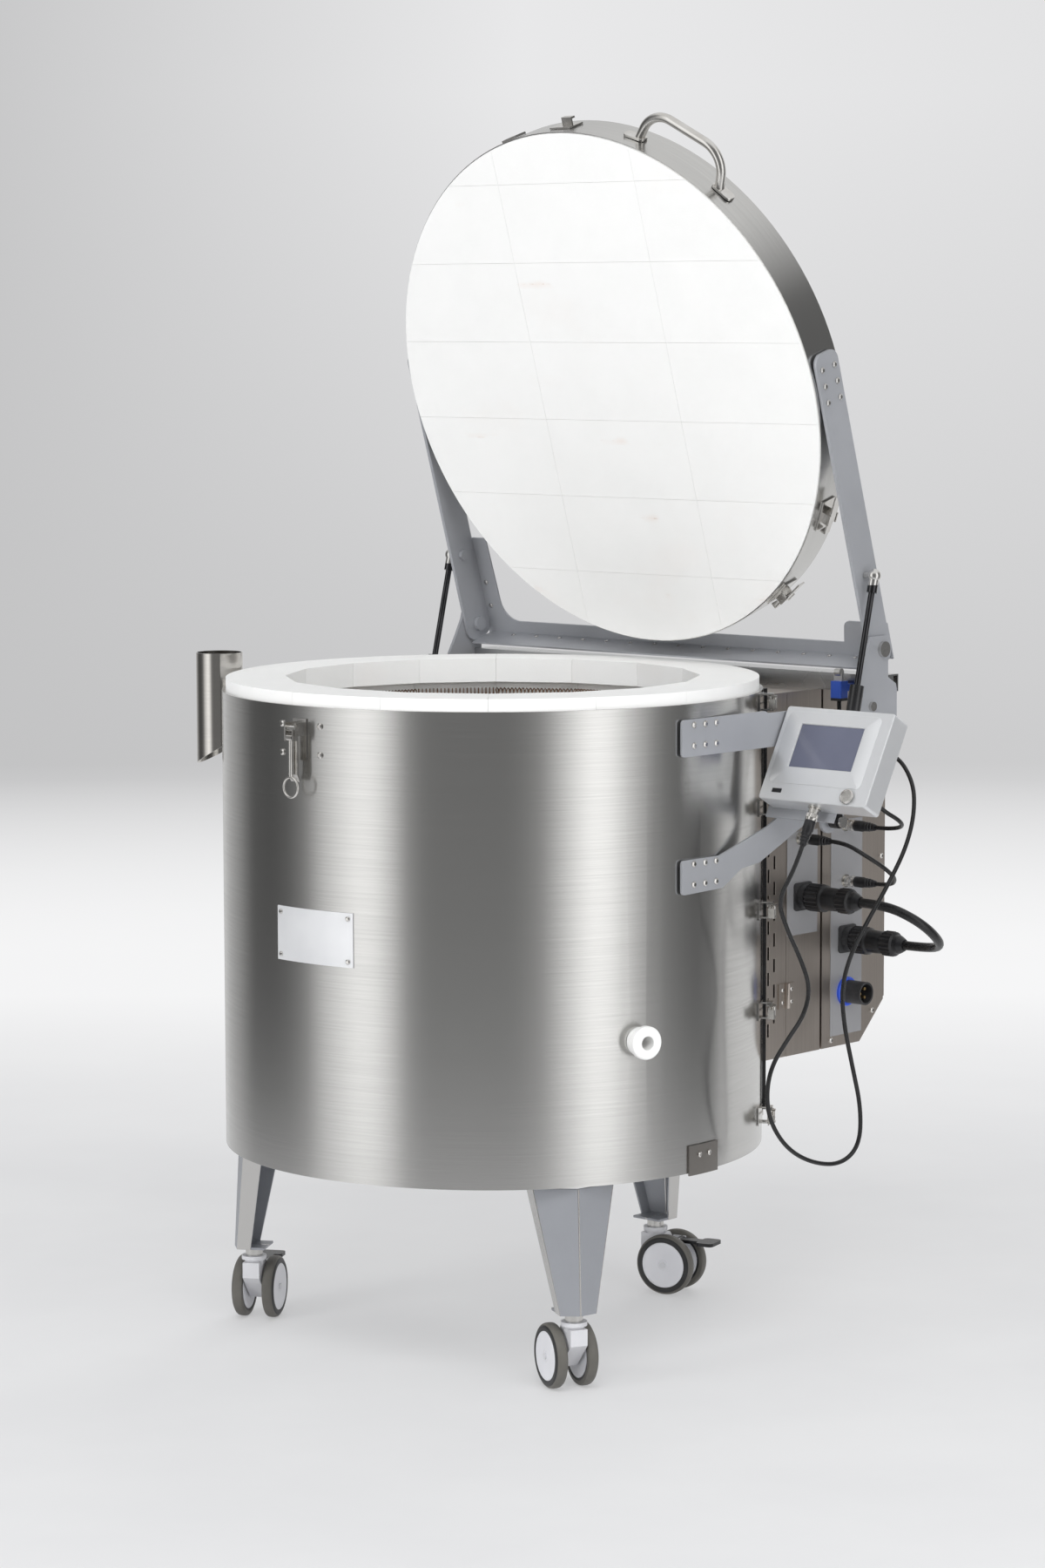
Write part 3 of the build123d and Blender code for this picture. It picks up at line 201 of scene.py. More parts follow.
def plain_finish(name, dark, light, rough, grain_size, cloud_size, depth, rough_from="Cloud", all_over=()):
    """One finish: clouds between two tones, uneven roughness and fine grain; all_over is set evenly."""
    material, tree, shader = tree_of(name)
    grain = use_group(tree, grain_tree, place(tree), grain_size, cloud_size)
    give(shader, "Base Color", mix_colour(tree, grain["Cloud"], dark, light))
    give(shader, "Roughness", stretch(tree, grain[rough_from], 0, 1, *rough))
    give(shader, "Normal", bump(tree, grain["Height"], depth))
    for key, value in dict(all_over).items():
        give(shader, key, value)
    return material


sheath = plain_finish("rubber_sheath", (0.006, 0.006, 0.0065), (0.013, 0.013, 0.014), (0.22, 0.34),
                      2600.0, 60.0, 0.00008)

# Routes in millimetres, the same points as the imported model's tubes.
routes = {
    "panel_cord": (2.75, [
        (425, 90.9, 652.2), (425, 76.5, 625.8), (402, 72, 585), (404, 88, 548), (400, 120, 508),
        (398, 142, 470), (394, 136, 436), (390, 110, 410), (385, 82, 378), (382, 76, 340),
        (381, 88, 303), (384, 118, 268), (390, 160, 246), (396, 208, 238), (402, 238, 258),
        (404, 238, 306), (402, 222, 362), (401, 206, 416), (400, 202, 464), (404, 218, 508),
        (408, 248, 546), (402, 295, 584), (392, 344, 624), (382, 374, 664), (366, 392, 702),
        (331, 400, 735), (301, 400, 735)]),
    "thermocouple_cord": (2.75, [
        (301, 306, 627), (323, 306, 627), (343, 323, 611), (352, 352, 593), (346, 384, 575),
        (325, 401, 563), (301, 401, 563)]),
    "switch_cord": (2.75, [
        (301, 400, 636), (323, 400, 636), (347, 397, 641), (356, 377, 652), (348, 352, 666),
        (332, 337, 690), (318, 329, 722), (305, 326, 753), (297.5, 326, 783), (297.5, 326, 805)]),
    "heater_cord": (6.0, [
        (345, 312, 552), (385, 312, 552), (418, 326, 537), (428, 352, 517), (418, 385, 496),
        (385, 405, 487), (345, 405, 487)]),
}


def flexible_lead(name):
    """Smooth lead along its route, as a curve with a round section."""
    radius, points = routes[name]
    curve = bpy.data.curves.new(name + "_lead", "CURVE")
    curve.dimensions = "3D"
    spline = curve.splines.new("NURBS")
    spline.points.add(len(points) - 1)
    for control, point in zip(spline.points, points):
        control.co = (*[value / 1000 for value in point], 1)
    spline.order_u = 3
    spline.use_endpoint_u = True
    curve.resolution_u = 12
    curve.bevel_depth = radius / 1000
    curve.bevel_resolution = 5
    curve.materials.append(sheath)
    lead = add(name + "_lead", curve)
    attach(lead, "kiln")
    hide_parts(name)
    return lead


leads = {name: flexible_lead(name) for name in routes}

# ---------------------------------------------------------------------------
# Plugs
# Round screw plugs: a knurled nickel ring and a moulded black body that tapers
# to the lead. The two heavy ones have a collar, a ribbed nut and a gland.


def new_mesh(name, points, faces, material, smooth_angle):
    """Piece from points and faces, smooth where its faces meet at less than an angle in degrees."""
    mesh = bpy.data.meshes.new(name)
    mesh.from_pydata([tuple(point) for point in points], [], faces)
    mesh.validate()
    mesh.shade_smooth()
    mesh.set_sharp_from_angle(angle=math.radians(smooth_angle))
    mesh.materials.append(material)
    return add(name, mesh)


def skin(rows, count, closed=False):
    """Faces of a tube of rows, each of a count of points; a closed one joins its last row to its first."""
    faces = []
    for row in range(rows if closed else rows - 1):
        here, there = row * count, (row + 1) % rows * count
        for n in range(count):
            after = (n + 1) % count
            faces.append((here + n, here + after, there + after, there + n))
    if not closed:
        last = (rows - 1) * count
        faces += [tuple(reversed(range(count))), tuple(range(last, last + count))]
    return faces


def lathe(steps, origin, direction, sides, ring=False):
    """Turned shape of steps (distance, radius) or (distance, radius, ridge height), in millimetres."""
    axis = Vector(direction).normalized()
    aside = axis.orthogonal().normalized()
    across = axis.cross(aside)
    points = []
    for distance, radius, *ridge in steps:
        for side in range(sides):
            turn = 2 * math.pi * side / sides
            reach = radius - (ridge[0] if ridge and side % 2 else 0.0)
            out = aside * math.cos(turn) + across * math.sin(turn)
            points.append((Vector(origin) + axis * distance + out * reach) / 1000)
    return points, skin(len(steps), sides, ring)


def merged(shapes):
    """Several shapes as one."""
    points, faces = [], []
    for more_points, more_faces in shapes:
        start = len(points)
        points += more_points
        faces += [tuple(start + index for index in face) for face in more_faces]
    return points, faces


bright_nickel = plain_finish("nickel", (0.62, 0.60, 0.57), (0.74, 0.73, 0.71), (0.12, 0.26),
                             900.0, 45.0, 0.00004, all_over={"Metallic": 1})
black_moulding = plain_finish("moulded_black", (0.007, 0.007, 0.008), (0.015, 0.015, 0.017), (0.26, 0.40),
                              1800.0, 40.0, 0.00012, "Grain")

box_side = 250.0
small_socket = 9.0
big_socket = 14.0
panel_lean = math.radians(28.6)
down_panel = Vector((0, -math.sin(panel_lean), -math.cos(panel_lean)))
under_panel = Vector((425, 115.31, 696.95))

small_ring = [
    (0.2, 6.0), (0.2, 7.0), (1, 7.5, 0), (1, 7.5, 0.5), (6, 7.5, 0.5), (6, 7.5, 0), (7, 7.0),
    (9.5, 7.0), (9.5, 5.5)]
small_body = [
    (7.6, 5.0), (7.6, 6.4), (9, 7.0), (22, 7.0), (23, 6.2), (28, 6.2), (28.6, 5.4), (30, 5.4),
    (30.6, 5.9), (32, 5.9), (32.6, 4.8), (34.2, 4.8), (34.8, 5.2), (36, 5.2), (36.6, 4.2), (38.4, 4.2),
    (39, 4.5), (40.2, 4.4), (41.9, 3.4), (41.9, 2.8)]
big_body = [
    (0.3, 14), (0.3, 16.6), (1.4, 17.6), (1.4, 17.9, 1.5), (22, 17.9, 1.5), (22, 17.6), (24.5, 17.4),
    (25.4, 16.4), (27, 15), (45, 14.6), (47, 13.6), (48.4, 13.4), (50, 15.4), (50, 16.4, 1.4),
    (64, 16.4, 1.4), (66, 15.6), (68, 12.6), (72, 11.6), (73, 11.9), (76, 10.4), (79, 8.6), (80.9, 7.4),
    (80.9, 6.1)]

# Where each plug starts and which way it points; the small ones are named first.
right = (1, 0, 0)
small_places = {
    "cover": ((box_side + small_socket, 306, 627), right),
    "cabinet_high": ((box_side + small_socket, 400, 636), right),
    "cabinet_low": ((box_side + small_socket, 401, 563), right),
    "cabinet_hidden": ((box_side + small_socket, 400, 735), right),
    "panel": (under_panel + down_panel * small_socket, down_panel),
}
big_places = {"cover_big": (box_side + big_socket, 312, 552),
              "cabinet_big": (box_side + big_socket, 405, 487)}

for key, (origin, direction) in small_places.items():
    ring = new_mesh("plug_ring_" + key, *lathe(small_ring, origin, direction, 60), bright_nickel, 40)
    body = new_mesh("plug_body_" + key, *lathe(small_body, origin, direction, 48), black_moulding, 50)
    for piece, finish in ((ring, "polished_steel"), (body, "black_plastic")):
        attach(piece, "kiln")
        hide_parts("cord_plugs")
for key, origin in big_places.items():
    body = new_mesh("plug_" + key, *lathe(big_body, origin, right, 40), black_moulding, 30)
    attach(body, "kiln")
    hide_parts("cord_plugs")

# ---------------------------------------------------------------------------
# Studio floor
# A pale disc that fades out toward its edge, so the backdrop shows behind it.
# The camera sees it partly lit and partly as a painted glow that brightens behind the kiln; reflections see
# only its middle.
floor_sides = 96
floor_height = -0.0004
floor_rings = [1.0, 2.0, 3.0, 4.5, 6.0, 7.6]
floor_points = [(0, 0, 0)]
for reach in floor_rings:
    floor_points += [(reach * math.cos(2 * math.pi * n / floor_sides),
                      reach * math.sin(2 * math.pi * n / floor_sides), 0) for n in range(floor_sides)]
floor_faces = [(0, 1 + n, 1 + (n + 1) % floor_sides) for n in range(floor_sides)]
for row in range(len(floor_rings) - 1):
    here, there = 1 + row * floor_sides, 1 + (row + 1) * floor_sides
    for n in range(floor_sides):
        after = (n + 1) % floor_sides
        floor_faces.append((here + n, there + n, there + after, here + after))
floor_mesh = bpy.data.meshes.new("floor")
floor_mesh.from_pydata(floor_points, [], floor_faces)
floor = add("floor", floor_mesh)
floor.location = (0, 0, floor_height)
floor_way = (-math.sin(camera_turn), math.cos(camera_turn), 0)


def studio_floor():
    """Pale floor with painted light that makes it brighter behind the kiln."""
    material, tree, lit = tree_of("studio_floor")
    spot = place(tree)
    far = vector_maths(tree, "LENGTH", spot)
    back = vector_maths(tree, "DOT_PRODUCT", spot, floor_way)
    clouds = stretch(tree, noise(tree, spot, 2.2, 4, 0.55), 0.35, 0.65, 0, 1)
    give(lit, "Base Color", mix_colour(tree, clouds, (0.80, 0.80, 0.81), (0.86, 0.86, 0.865)))
    give(lit, "Roughness", 0.62)
    give(lit, "Specular IOR Level", 0.25)
    # Painted floor light: a glow that grows brighter behind the kiln, and the camera sees more of it there.
    painted_floor_light = node(tree, "ShaderNodeEmission", {"Color": (0.97, 0.97, 0.975, 1),
                                             "Strength": stretch(tree, back, 0.9, 2.7, 0.80, 0.96)})
    path = node(tree, "ShaderNodeLightPath").outputs
    mirrored = maths(tree, "MAXIMUM", path["Is Glossy Ray"], path["Is Transmission Ray"])
    seen = maths(tree, "MAXIMUM", path["Is Camera Ray"], mirrored)
    share = maths(tree, "MULTIPLY", seen, stretch(tree, back, 0.9, 2.7, 0.45, 0.92))
    blend = node(tree, "ShaderNodeMixShader", {0: share, 1: lit.outputs[0], 2: painted_floor_light.outputs[0]})
    clear = node(tree, "ShaderNodeBsdfTransparent")
    away = maths(tree, "MULTIPLY", mirrored, stretch(tree, far, 0.8, 2.2, 0, 1))
    gone = maths(tree, "MAXIMUM", away, stretch(tree, far, 3.4, 6.6, 0, 1))
    fade = node(tree, "ShaderNodeMixShader", {0: gone, 1: blend.outputs[0], 2: clear.outputs[0]})
    output = next(part for part in tree.nodes if part.type == "OUTPUT_MATERIAL")
    tree.links.new(fade.outputs[0], output.inputs[0])
    return material


floor_mesh.materials.append(studio_floor())

# ---------------------------------------------------------------------------
# Backdrop and room
# A grey paper backdrop, lighter at its middle and toward the floor. Steel sees a
# ring of tones round the room instead: two tall soft boxes and dark curtains.
world = bpy.data.worlds.new("studio")
world.use_nodes = True
scene.world = world
sky = world.node_tree
sky.nodes.clear()
heading = node(sky, "ShaderNodeTexCoord").outputs["Generated"]
way = split(sky, heading)
rise = way["Z"]
side = vector_maths(sky, "DOT_PRODUCT", heading, level)
upper = maths(sky, "SUBTRACT", stretch(sky, side, -0.13, 0.0, 0.565, 0.81),
              stretch(sky, side, 0.0, 0.13, 0, 0.05))
lower = stretch(sky, side, -0.13, 0.13, 0.546, 0.61)
wall = maths(sky, "MULTIPLY_ADD", stretch(sky, rise, -0.10, 0.05, 0, 1),
             maths(sky, "SUBTRACT", upper, lower), lower)
backdrop = mix_colour(sky, stretch(sky, rise, -0.150, -0.105, 0.90, wall), (0, 0, 0), (1, 1, 1.01))

# Compass heading in degrees, 0 in front of the kiln and 90 on its right, and the tone there.
room_tones = [
    (-180, 0.49), (-120, 0.4), (-95, 0.231), (-80, 0.07), (-64, 0.06), (-53, 0.085), (-43, 0.175),
    (-34, 0.47), (-25, 0.68), (-17, 0.86), (-9, 0.83), (-1, 0.54), (6, 0.2), (14, 0.125), (49, 0.12),
    (56, 0.15), (63, 0.21), (71, 0.48), (78, 0.76), (85, 0.98), (93, 0.9), (101, 0.56), (109, 0.347),
    (118, 0.15), (127, 0.11), (137, 0.075), (148, 0.095), (160, 0.445), (175, 0.485)]
mirror_share = 1.6
ceiling_tone = (0.85, 0.85, 0.85)
compass = maths(sky, "ARCTAN2", way["X"], maths(sky, "MULTIPLY", way["Y"], -1.0))
room = node(sky, "ShaderNodeValToRGB", {0: stretch(sky, compass, -math.pi, math.pi, 0, 1)})
stops = room.color_ramp.elements
for number, (angle, tone) in enumerate(room_tones):
    stop = stops[number] if number < 2 else stops.new((angle + 180) / 360)
    stop.position = (angle + 180) / 360
    stop.color = (*[tone * mirror_share] * 3, 1)
mirror = mix_colour(sky, stretch(sky, rise, 0.45, 0.8, 0, 1), room.outputs[0], ceiling_tone)

ray = node(sky, "ShaderNodeLightPath").outputs
seen_tone = mix_colour(sky, ray["Is Glossy Ray"], backdrop, mirror)
shown = node(sky, "ShaderNodeBackground", {"Color": seen_tone, "Strength": 1.0})
fill = node(sky, "ShaderNodeBackground", {"Color": (0.96, 0.975, 1.0, 1), "Strength": 0.55})
looks = maths(sky, "MAXIMUM", ray["Is Camera Ray"],
              maths(sky, "MAXIMUM", ray["Is Glossy Ray"], ray["Is Transmission Ray"]))
either = node(sky, "ShaderNodeMixShader", {0: looks, 1: fill.outputs[0], 2: shown.outputs[0]})
sky.links.new(either.outputs[0], node(sky, "ShaderNodeOutputWorld").inputs[0])

# ---------------------------------------------------------------------------
# Lamps
# Four broad soft boxes that all face the kiln: one at either side of the camera,
# one above it and one behind the kiln. Steel does not see them.
lamp_aim = 0.75
lamps = {  # compass heading, distance, height, width, tallness, power
    "left_soft_box": (-9, 3.6, 1.1, 1.1, 2.8, 43),
    "right_soft_box": (77, 3.6, 1.1, 1.5, 2.8, 43),
    "high_soft_box": (40, 3.9, 4.3, 2.6, 1.8, 92),
    "rear_soft_box": (200, 3.8, 2.4, 1.8, 2.2, 34),
}
for name, (azimuth, distance, height, width, tallness, power) in lamps.items():
    turn = math.radians(azimuth)
    light = bpy.data.lights.new(name, "AREA")
    light.shape = "RECTANGLE"
    light.size = width
    light.size_y = tallness
    light.energy = power
    lamp = add(name, light)
    lamp.location = (math.sin(turn) * distance, -math.cos(turn) * distance, height)
    facing = Vector((0, 0, lamp_aim)) - lamp.location
    lamp.rotation_euler = facing.to_track_quat("-Z", "Y").to_euler()
    lamp.visible_glossy = False

# ---------------------------------------------------------------------------
# Drum and lid band
# Stainless sheet, brushed along its length before it was rolled, so the fine
# lines run round the drum and reflections pull out into upright bands.


def brushed_group():
    """Long fine lines stacked along the vector's Z, broader bands of them and their height."""
    group, given, out = new_group("brushed_lines", ("Vector", "Line pitch", "Line length"),
                                  ("Lines", "Bands", "Height"))
    scale = node(group, "ShaderNodeCombineXYZ", {"X": given["Line length"], "Y": given["Line length"],
                                                 "Z": given["Line pitch"]})
    pulled = vector_maths(group, "MULTIPLY", given["Vector"], scale.outputs[0])
    coarse = vector_maths(group, "MULTIPLY", pulled, (0.6, 0.6, 0.12))
    lines = noise(group, pulled, 1.0, 4, 0.65)
    bands = noise(group, coarse, 1.0, 2, 0.5)
    group.links.new(stretch(group, lines, 0.28, 0.72, 0, 1), out["Lines"])
    group.links.new(stretch(group, bands, 0.3, 0.7, 0, 1), out["Bands"])
    group.links.new(lines, out["Height"])
    return group


brushed_tree = brushed_group()
pivot = Vector((0, 0.345, 0.872))
lid_travel = math.radians(73)


def closed_lid_place(tree):
    """Position on the lid as if it lay closed on the drum."""
    moved = vector_maths(tree, "SUBTRACT", place(tree), pivot)
    turned = node(tree, "ShaderNodeVectorRotate", {"Vector": moved, "Angle": lid_travel},
                  rotation_type="X_AXIS")
    return vector_maths(tree, "ADD", turned.outputs[0], pivot)


def brushed_steel(name, where, tone, pitch=520.0, length=6.0, rough=(0.21, 0.26), rolled=True, wave=0.0011,
                  pull=0.75):
    """Brushed stainless with a slight swell; rolled sheet pulls its reflections out along its axis."""
    material, tree, shader = tree_of(name)
    spot = where(tree)
    lines = use_group(tree, brushed_tree, spot, pitch, length)
    colour = mix_colour(tree, lines["Lines"], [value * 0.90 for value in tone], tone)
    band_share = maths(tree, "MULTIPLY", lines["Bands"], 0.05)
    colour = mix_colour(tree, band_share, colour, [value * 0.7 for value in tone])
    give(shader, "Base Color", colour)
    give(shader, "Roughness", stretch(tree, lines["Lines"], 0, 1, rough[1], rough[0]))
    swell = bump(tree, noise(tree, spot, 3.1, 1, 0.4), wave)
    give(shader, "Normal", bump(tree, lines["Height"], 0.00003, swell))
    give(shader, "Metallic", 1)
    give(shader, "Anisotropic", pull)
    give(shader, "Anisotropic Rotation", 0.25)
    if rolled:
        way = node(tree, "ShaderNodeTangent", direction_type="RADIAL", axis="Z")
        give(shader, "Tangent", way.outputs[0])
    return material


def dress(names, material, edge=0.0):
    """Give carried-over pieces a material, and rounded edges of a width in millimetres."""
    for name in names:
        cad[name].data.materials.clear()
        cad[name].data.materials.append(material)
        if edge:
            weld = cad[name].modifiers.new("weld", "WELD")
            weld.merge_threshold = 0.000005
            soft = cad[name].modifiers.new("soft_edges", "BEVEL")
            soft.width = edge / 1000
            soft.segments = 2
            soft.limit_method = "ANGLE"
            soft.angle_limit = math.radians(35)
            soft.harden_normals = True


steel_tone = (0.64, 0.635, 0.62)
dress(["drum_jacket"], brushed_steel("drum_steel", place, steel_tone))
dress(["lid_pan"], brushed_steel("lid_steel", closed_lid_place, steel_tone, wave=0.0003, pull=0.3))

# ---------------------------------------------------------------------------
# Bricks
# Soft white insulating firebrick, sawn to shape: chalky, full of fine pits, with
# thin joints, a few brown crumbs at the lid's joints and faint warm stains.
lid_row_pitch = 0.105
lid_first_row = -0.249


def firebrick(name, where, stain, rows=False):
    """Chalky pitted brick; rows adds the marks along the lid's joints."""
    material, tree, shader = tree_of(name)
    spot = where(tree)
    grain = use_group(tree, grain_tree, spot, 900.0, 14.0)
    colour = mix_colour(tree, grain["Cloud"], (0.885, 0.883, 0.868), (0.905, 0.902, 0.888))
    cells = node(tree, "ShaderNodeTexVoronoi", {"Vector": spot, "Scale": 420.0, "Randomness": 1.0})
    rare = stretch(tree, noise(tree, spot, 160.0, 2, 0.5), 0.55, 0.66, 0, 1)
    pit = maths(tree, "MULTIPLY", stretch(tree, cells.outputs["Distance"], 0.02, 0.16, 1, 0), rare)
    colour = mix_colour(tree, maths(tree, "MULTIPLY", pit, 0.35), colour, (0.62, 0.55, 0.46))
    warm = stretch(tree, noise(tree, spot, 5.5, 3, 0.6), 0.58, 0.74, 0, 1)
    colour = mix_colour(tree, maths(tree, "MULTIPLY", warm, stain), colour, (0.86, 0.76, 0.70))
    if rows:
        along = maths(tree, "SUBTRACT", split(tree, spot)["Y"], lid_first_row)
        row = maths(tree, "PINGPONG", along, lid_row_pitch / 2)
        patch = stretch(tree, noise(tree, spot, 11.0, 2, 0.5), 0.62, 0.72, 0, 1)
        close = maths(tree, "MULTIPLY", stretch(tree, row, 0.0, 0.007, 1, 0), patch)
        colour = mix_colour(tree, maths(tree, "MULTIPLY", close, 0.30), colour, (0.80, 0.62, 0.52))
        bits = stretch(tree, noise(tree, spot, 90.0, 2, 0.6), 0.50, 0.60, 0, 1)
        at_joint = maths(tree, "LESS_THAN", row, 0.0008)
        crumb = maths(tree, "MULTIPLY", at_joint, maths(tree, "MULTIPLY", patch, bits))
        colour = mix_colour(tree, maths(tree, "MULTIPLY", crumb, 0.45), colour, (0.50, 0.36, 0.24))
    give(shader, "Base Color", colour)
    give(shader, "Roughness", 0.93)
    give(shader, "Specular IOR Level", 0.15)
    height = maths(tree, "SUBTRACT", grain["Height"], maths(tree, "MULTIPLY", pit, 0.8))
    relief = bump(tree, height, 0.0005)
    relief.node.inputs["Strength"].default_value = 0.7
    give(shader, "Normal", relief)
    return material


dress(["lid_bricks"], firebrick("lid_brick", closed_lid_place, 0.15, True))
dress(["wall_bricks", "floor_bricks"], firebrick("wall_brick", place, 0.18))
dress(["insulation"], firebrick("fibre_blanket", place, 0.05))
dress(["spy_plug", "thermocouple"], firebrick("pressed_ceramic", place, 0.0))

# ---------------------------------------------------------------------------
# Heating elements
# Eight open coils of resistance wire, one in each groove of the brickwork.
# The wire is wound on a rod and has burned to a matt brown.
chamber_sides = 16
coil_ring = 266.0
coil_corner = coil_ring / math.cos(math.pi / chamber_sides)
coil_start = -48.5
coil_middle = 6.0
coil_wire = 0.85
coil_pitch = 5.0
coil_steps = 8
coil_heights = [385 + 58.75 * n for n in range(8)]
burned_wire = plain_finish("burned_wire", (0.16, 0.095, 0.06), (0.30, 0.20, 0.14), (0.5, 0.75),
                           500.0, 9.0, 0.00008, "Grain", {"Metallic": 0.35})


def wound_coils():
    """Closed coils that follow the sixteen sides of the chamber."""
    side_length = 2 * coil_ring * math.tan(math.pi / chamber_sides)
    count = round(side_length * chamber_sides / coil_pitch) * coil_steps
    corners = [math.radians(coil_start + 360 / chamber_sides * n) for n in range(chamber_sides + 1)]
    curve = bpy.data.curves.new("heating_coils", "CURVE")
    curve.dimensions = "3D"
    for height in coil_heights:
        spline = curve.splines.new("POLY")
        spline.points.add(count - 1)
        flat = []
        for n in range(count):
            side, share = divmod(n / count * chamber_sides, 1)
            start, end = corners[int(side)], corners[int(side) + 1]
            out = (start + end) / 2
            turn = 2 * math.pi * n / coil_steps
            reach = coil_middle * math.cos(turn)
            x = coil_corner * ((1 - share) * math.cos(start) + share * math.cos(end)) + reach * math.cos(out)
            y = coil_corner * ((1 - share) * math.sin(start) + share * math.sin(end)) + reach * math.sin(out)
            flat += [x / 1000, y / 1000, (height + coil_middle * math.sin(turn)) / 1000, 1]
        spline.points.foreach_set("co", flat)
        spline.use_cyclic_u = True
    curve.bevel_depth = coil_wire / 1000
    curve.bevel_resolution = 0
    curve.materials.append(burned_wire)
    return curve


coils = add("heating_coils", wound_coils())
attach(coils, "kiln")
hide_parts("heating_elements")

# ---------------------------------------------------------------------------
# Painted steelwork
# Legs, lid arms, crossbar, hinge brackets and panel bracket are folded or cut
# plate with a silver-grey sprayed finish; their screws and bolts are bright.
leg_foot, leg_head = 0.097, 0.254
leg_half_foot, leg_half_head = 0.0235, 0.052


def painted_fold_highlights(tree, spot):
    """Painted highlights: thin bright lines along the folds of the three legs."""
    parts = split(tree, spot)
    angle = maths(tree, "SUBTRACT", maths(tree, "ARCTAN2", parts["Y"], parts["X"]), math.radians(90))
    turned = maths(tree, "WRAP", angle, math.radians(60), math.radians(-60))
    reach = vector_maths(tree, "LENGTH", vector_maths(tree, "MULTIPLY", spot, (1, 1, 0)))
    aside = maths(tree, "ABSOLUTE", maths(tree, "MULTIPLY", maths(tree, "SINE", turned), reach))
    half = stretch(tree, parts["Z"], leg_foot, leg_head, leg_half_foot, leg_half_head)
    ridge = maths(tree, "LESS_THAN", aside, 0.0011)
    edge = maths(tree, "LESS_THAN", maths(tree, "ABSOLUTE", maths(tree, "SUBTRACT", aside, half)), 0.0009)
    return maths(tree, "MAXIMUM", ridge, edge)


def outside(limit):
    """Share that is 1 for what stands further out to either side than a limit, such as screw heads."""

    def share(tree, spot):
        return maths(tree, "GREATER_THAN", maths(tree, "ABSOLUTE", split(tree, spot)["X"]), limit)

    return share


def rivet_share(tree, spot):
    """The crossbar's rivets stand on the inner side of its flange and web."""
    parts = split(tree, spot)
    front = maths(tree, "MULTIPLY", maths(tree, "LESS_THAN", parts["Y"], 0.36477),
                  maths(tree, "GREATER_THAN", parts["Y"], 0.3630))
    low = maths(tree, "MULTIPLY", front, maths(tree, "LESS_THAN", parts["Z"], 0.8925))
    under = maths(tree, "MULTIPLY", maths(tree, "LESS_THAN", parts["Z"], 0.89448),
                  maths(tree, "LESS_THAN", parts["X"], -0.32))
    under = maths(tree, "MULTIPLY", under, maths(tree, "LESS_THAN", parts["Y"], 0.335))
    return maths(tree, "MAXIMUM", low, under)


def sprayed_grey(name, where, bright=None, tone=(0.40, 0.41, 0.435)):
    """Sprayed silver-grey; bright gives the share that shows bright metal instead: bare screw heads and
    rivets, or painted highlights along the legs' folds.
    """
    material, tree, shader = tree_of(name)
    spot = where(tree)
    grain = use_group(tree, grain_tree, spot, 1500.0, 8.0)
    colour = mix_colour(tree, grain["Cloud"], tone, [value * 1.16 for value in tone])
    colour = mix_colour(tree, maths(tree, "MULTIPLY", grain["Grain"], 0.18), colour, (0.55, 0.56, 0.58))
    rough = stretch(tree, grain["Grain"], 0, 1, 0.38, 0.50)
    metal = 0.45
    if bright:
        share = bright(tree, spot)
        colour = mix_colour(tree, share, colour, (0.60, 0.59, 0.575))
        metal = stretch(tree, share, 0, 1, 0.45, 1.0)
        rough = maths(tree, "MULTIPLY", rough, stretch(tree, share, 0, 1, 1.0, 0.45))
    give(shader, "Base Color", colour)
    give(shader, "Metallic", metal)
    give(shader, "Roughness", rough)
    give(shader, "Normal", bump(tree, grain["Height"], 0.00014))
    return material


# The legs' bright fold lines are painted highlights.
dress(["legs"], sprayed_grey("sprayed_leg", place, painted_fold_highlights, (0.31, 0.32, 0.345)), 0.5)
dress(["panel_bracket"], sprayed_grey("sprayed_plate", place), 0.5)
dress(["lid_arms"], sprayed_grey("sprayed_arm", place, outside(0.34685)), 0.5)
dress(["lid_crossbar"], sprayed_grey("sprayed_crossbar", closed_lid_place, rivet_share))
dress(["hinge_brackets"], sprayed_grey("sprayed_bracket", place, outside(0.35135)))

# ---------------------------------------------------------------------------
# Rear boxes and beam
# Folded stainless sheet with a mill finish. It shows the room softly, and the boxes'
# warm brownish tone is a painted warm reflection. Its faint rolling lines run upright on the boxes and along
# the beam.


def mill_steel(name, tone, rough, line_scale):
    """Satin sheet with rolling lines; line_scale is small along the lines and large across them."""
    material, tree, shader = tree_of(name)
    spot = place(tree)
    grain = use_group(tree, grain_tree, spot, 260.0, 5.0)
    lines = noise(tree, vector_maths(tree, "MULTIPLY", spot, line_scale), 1.0, 3, 0.6)
    colour = mix_colour(tree, stretch(tree, lines, 0.3, 0.7, 0, 1), [value * 0.9 for value in tone], tone)
    cloud = maths(tree, "MULTIPLY", grain["Cloud"], 0.25)
    colour = mix_colour(tree, cloud, colour, [value * 0.86 for value in tone])
    give(shader, "Base Color", colour)
    give(shader, "Roughness", stretch(tree, grain["Cloud"], 0, 1, *rough))
    swell = bump(tree, noise(tree, spot, 4.0, 1, 0.4), 0.0005)
    give(shader, "Normal", bump(tree, lines, 0.00003, swell))
    give(shader, "Metallic", 1)
    return material


# The boxes' warm brownish tone is a painted warm reflection of the room.
box_steel = mill_steel("mill_steel", (0.60, 0.54, 0.49), (0.34, 0.46), (420.0, 420.0, 7.0))
beam_steel = mill_steel("zinc_plate", (0.60, 0.605, 0.61), (0.20, 0.32), (7.0, 420.0, 420.0))
dress(["element_box", "terminal_cover", "control_cabinet"], box_steel, 0.4)
dress(["cross_beam", "base_plate"], beam_steel)

# ---------------------------------------------------------------------------
# Name plate, label strips and foot plate
# Printed aluminium, satin and very pale, riveted on and left without words. The
# small plate at the drum's foot is bare darker steel.
foot_plate_top = 0.30
rear_strips = 0.2


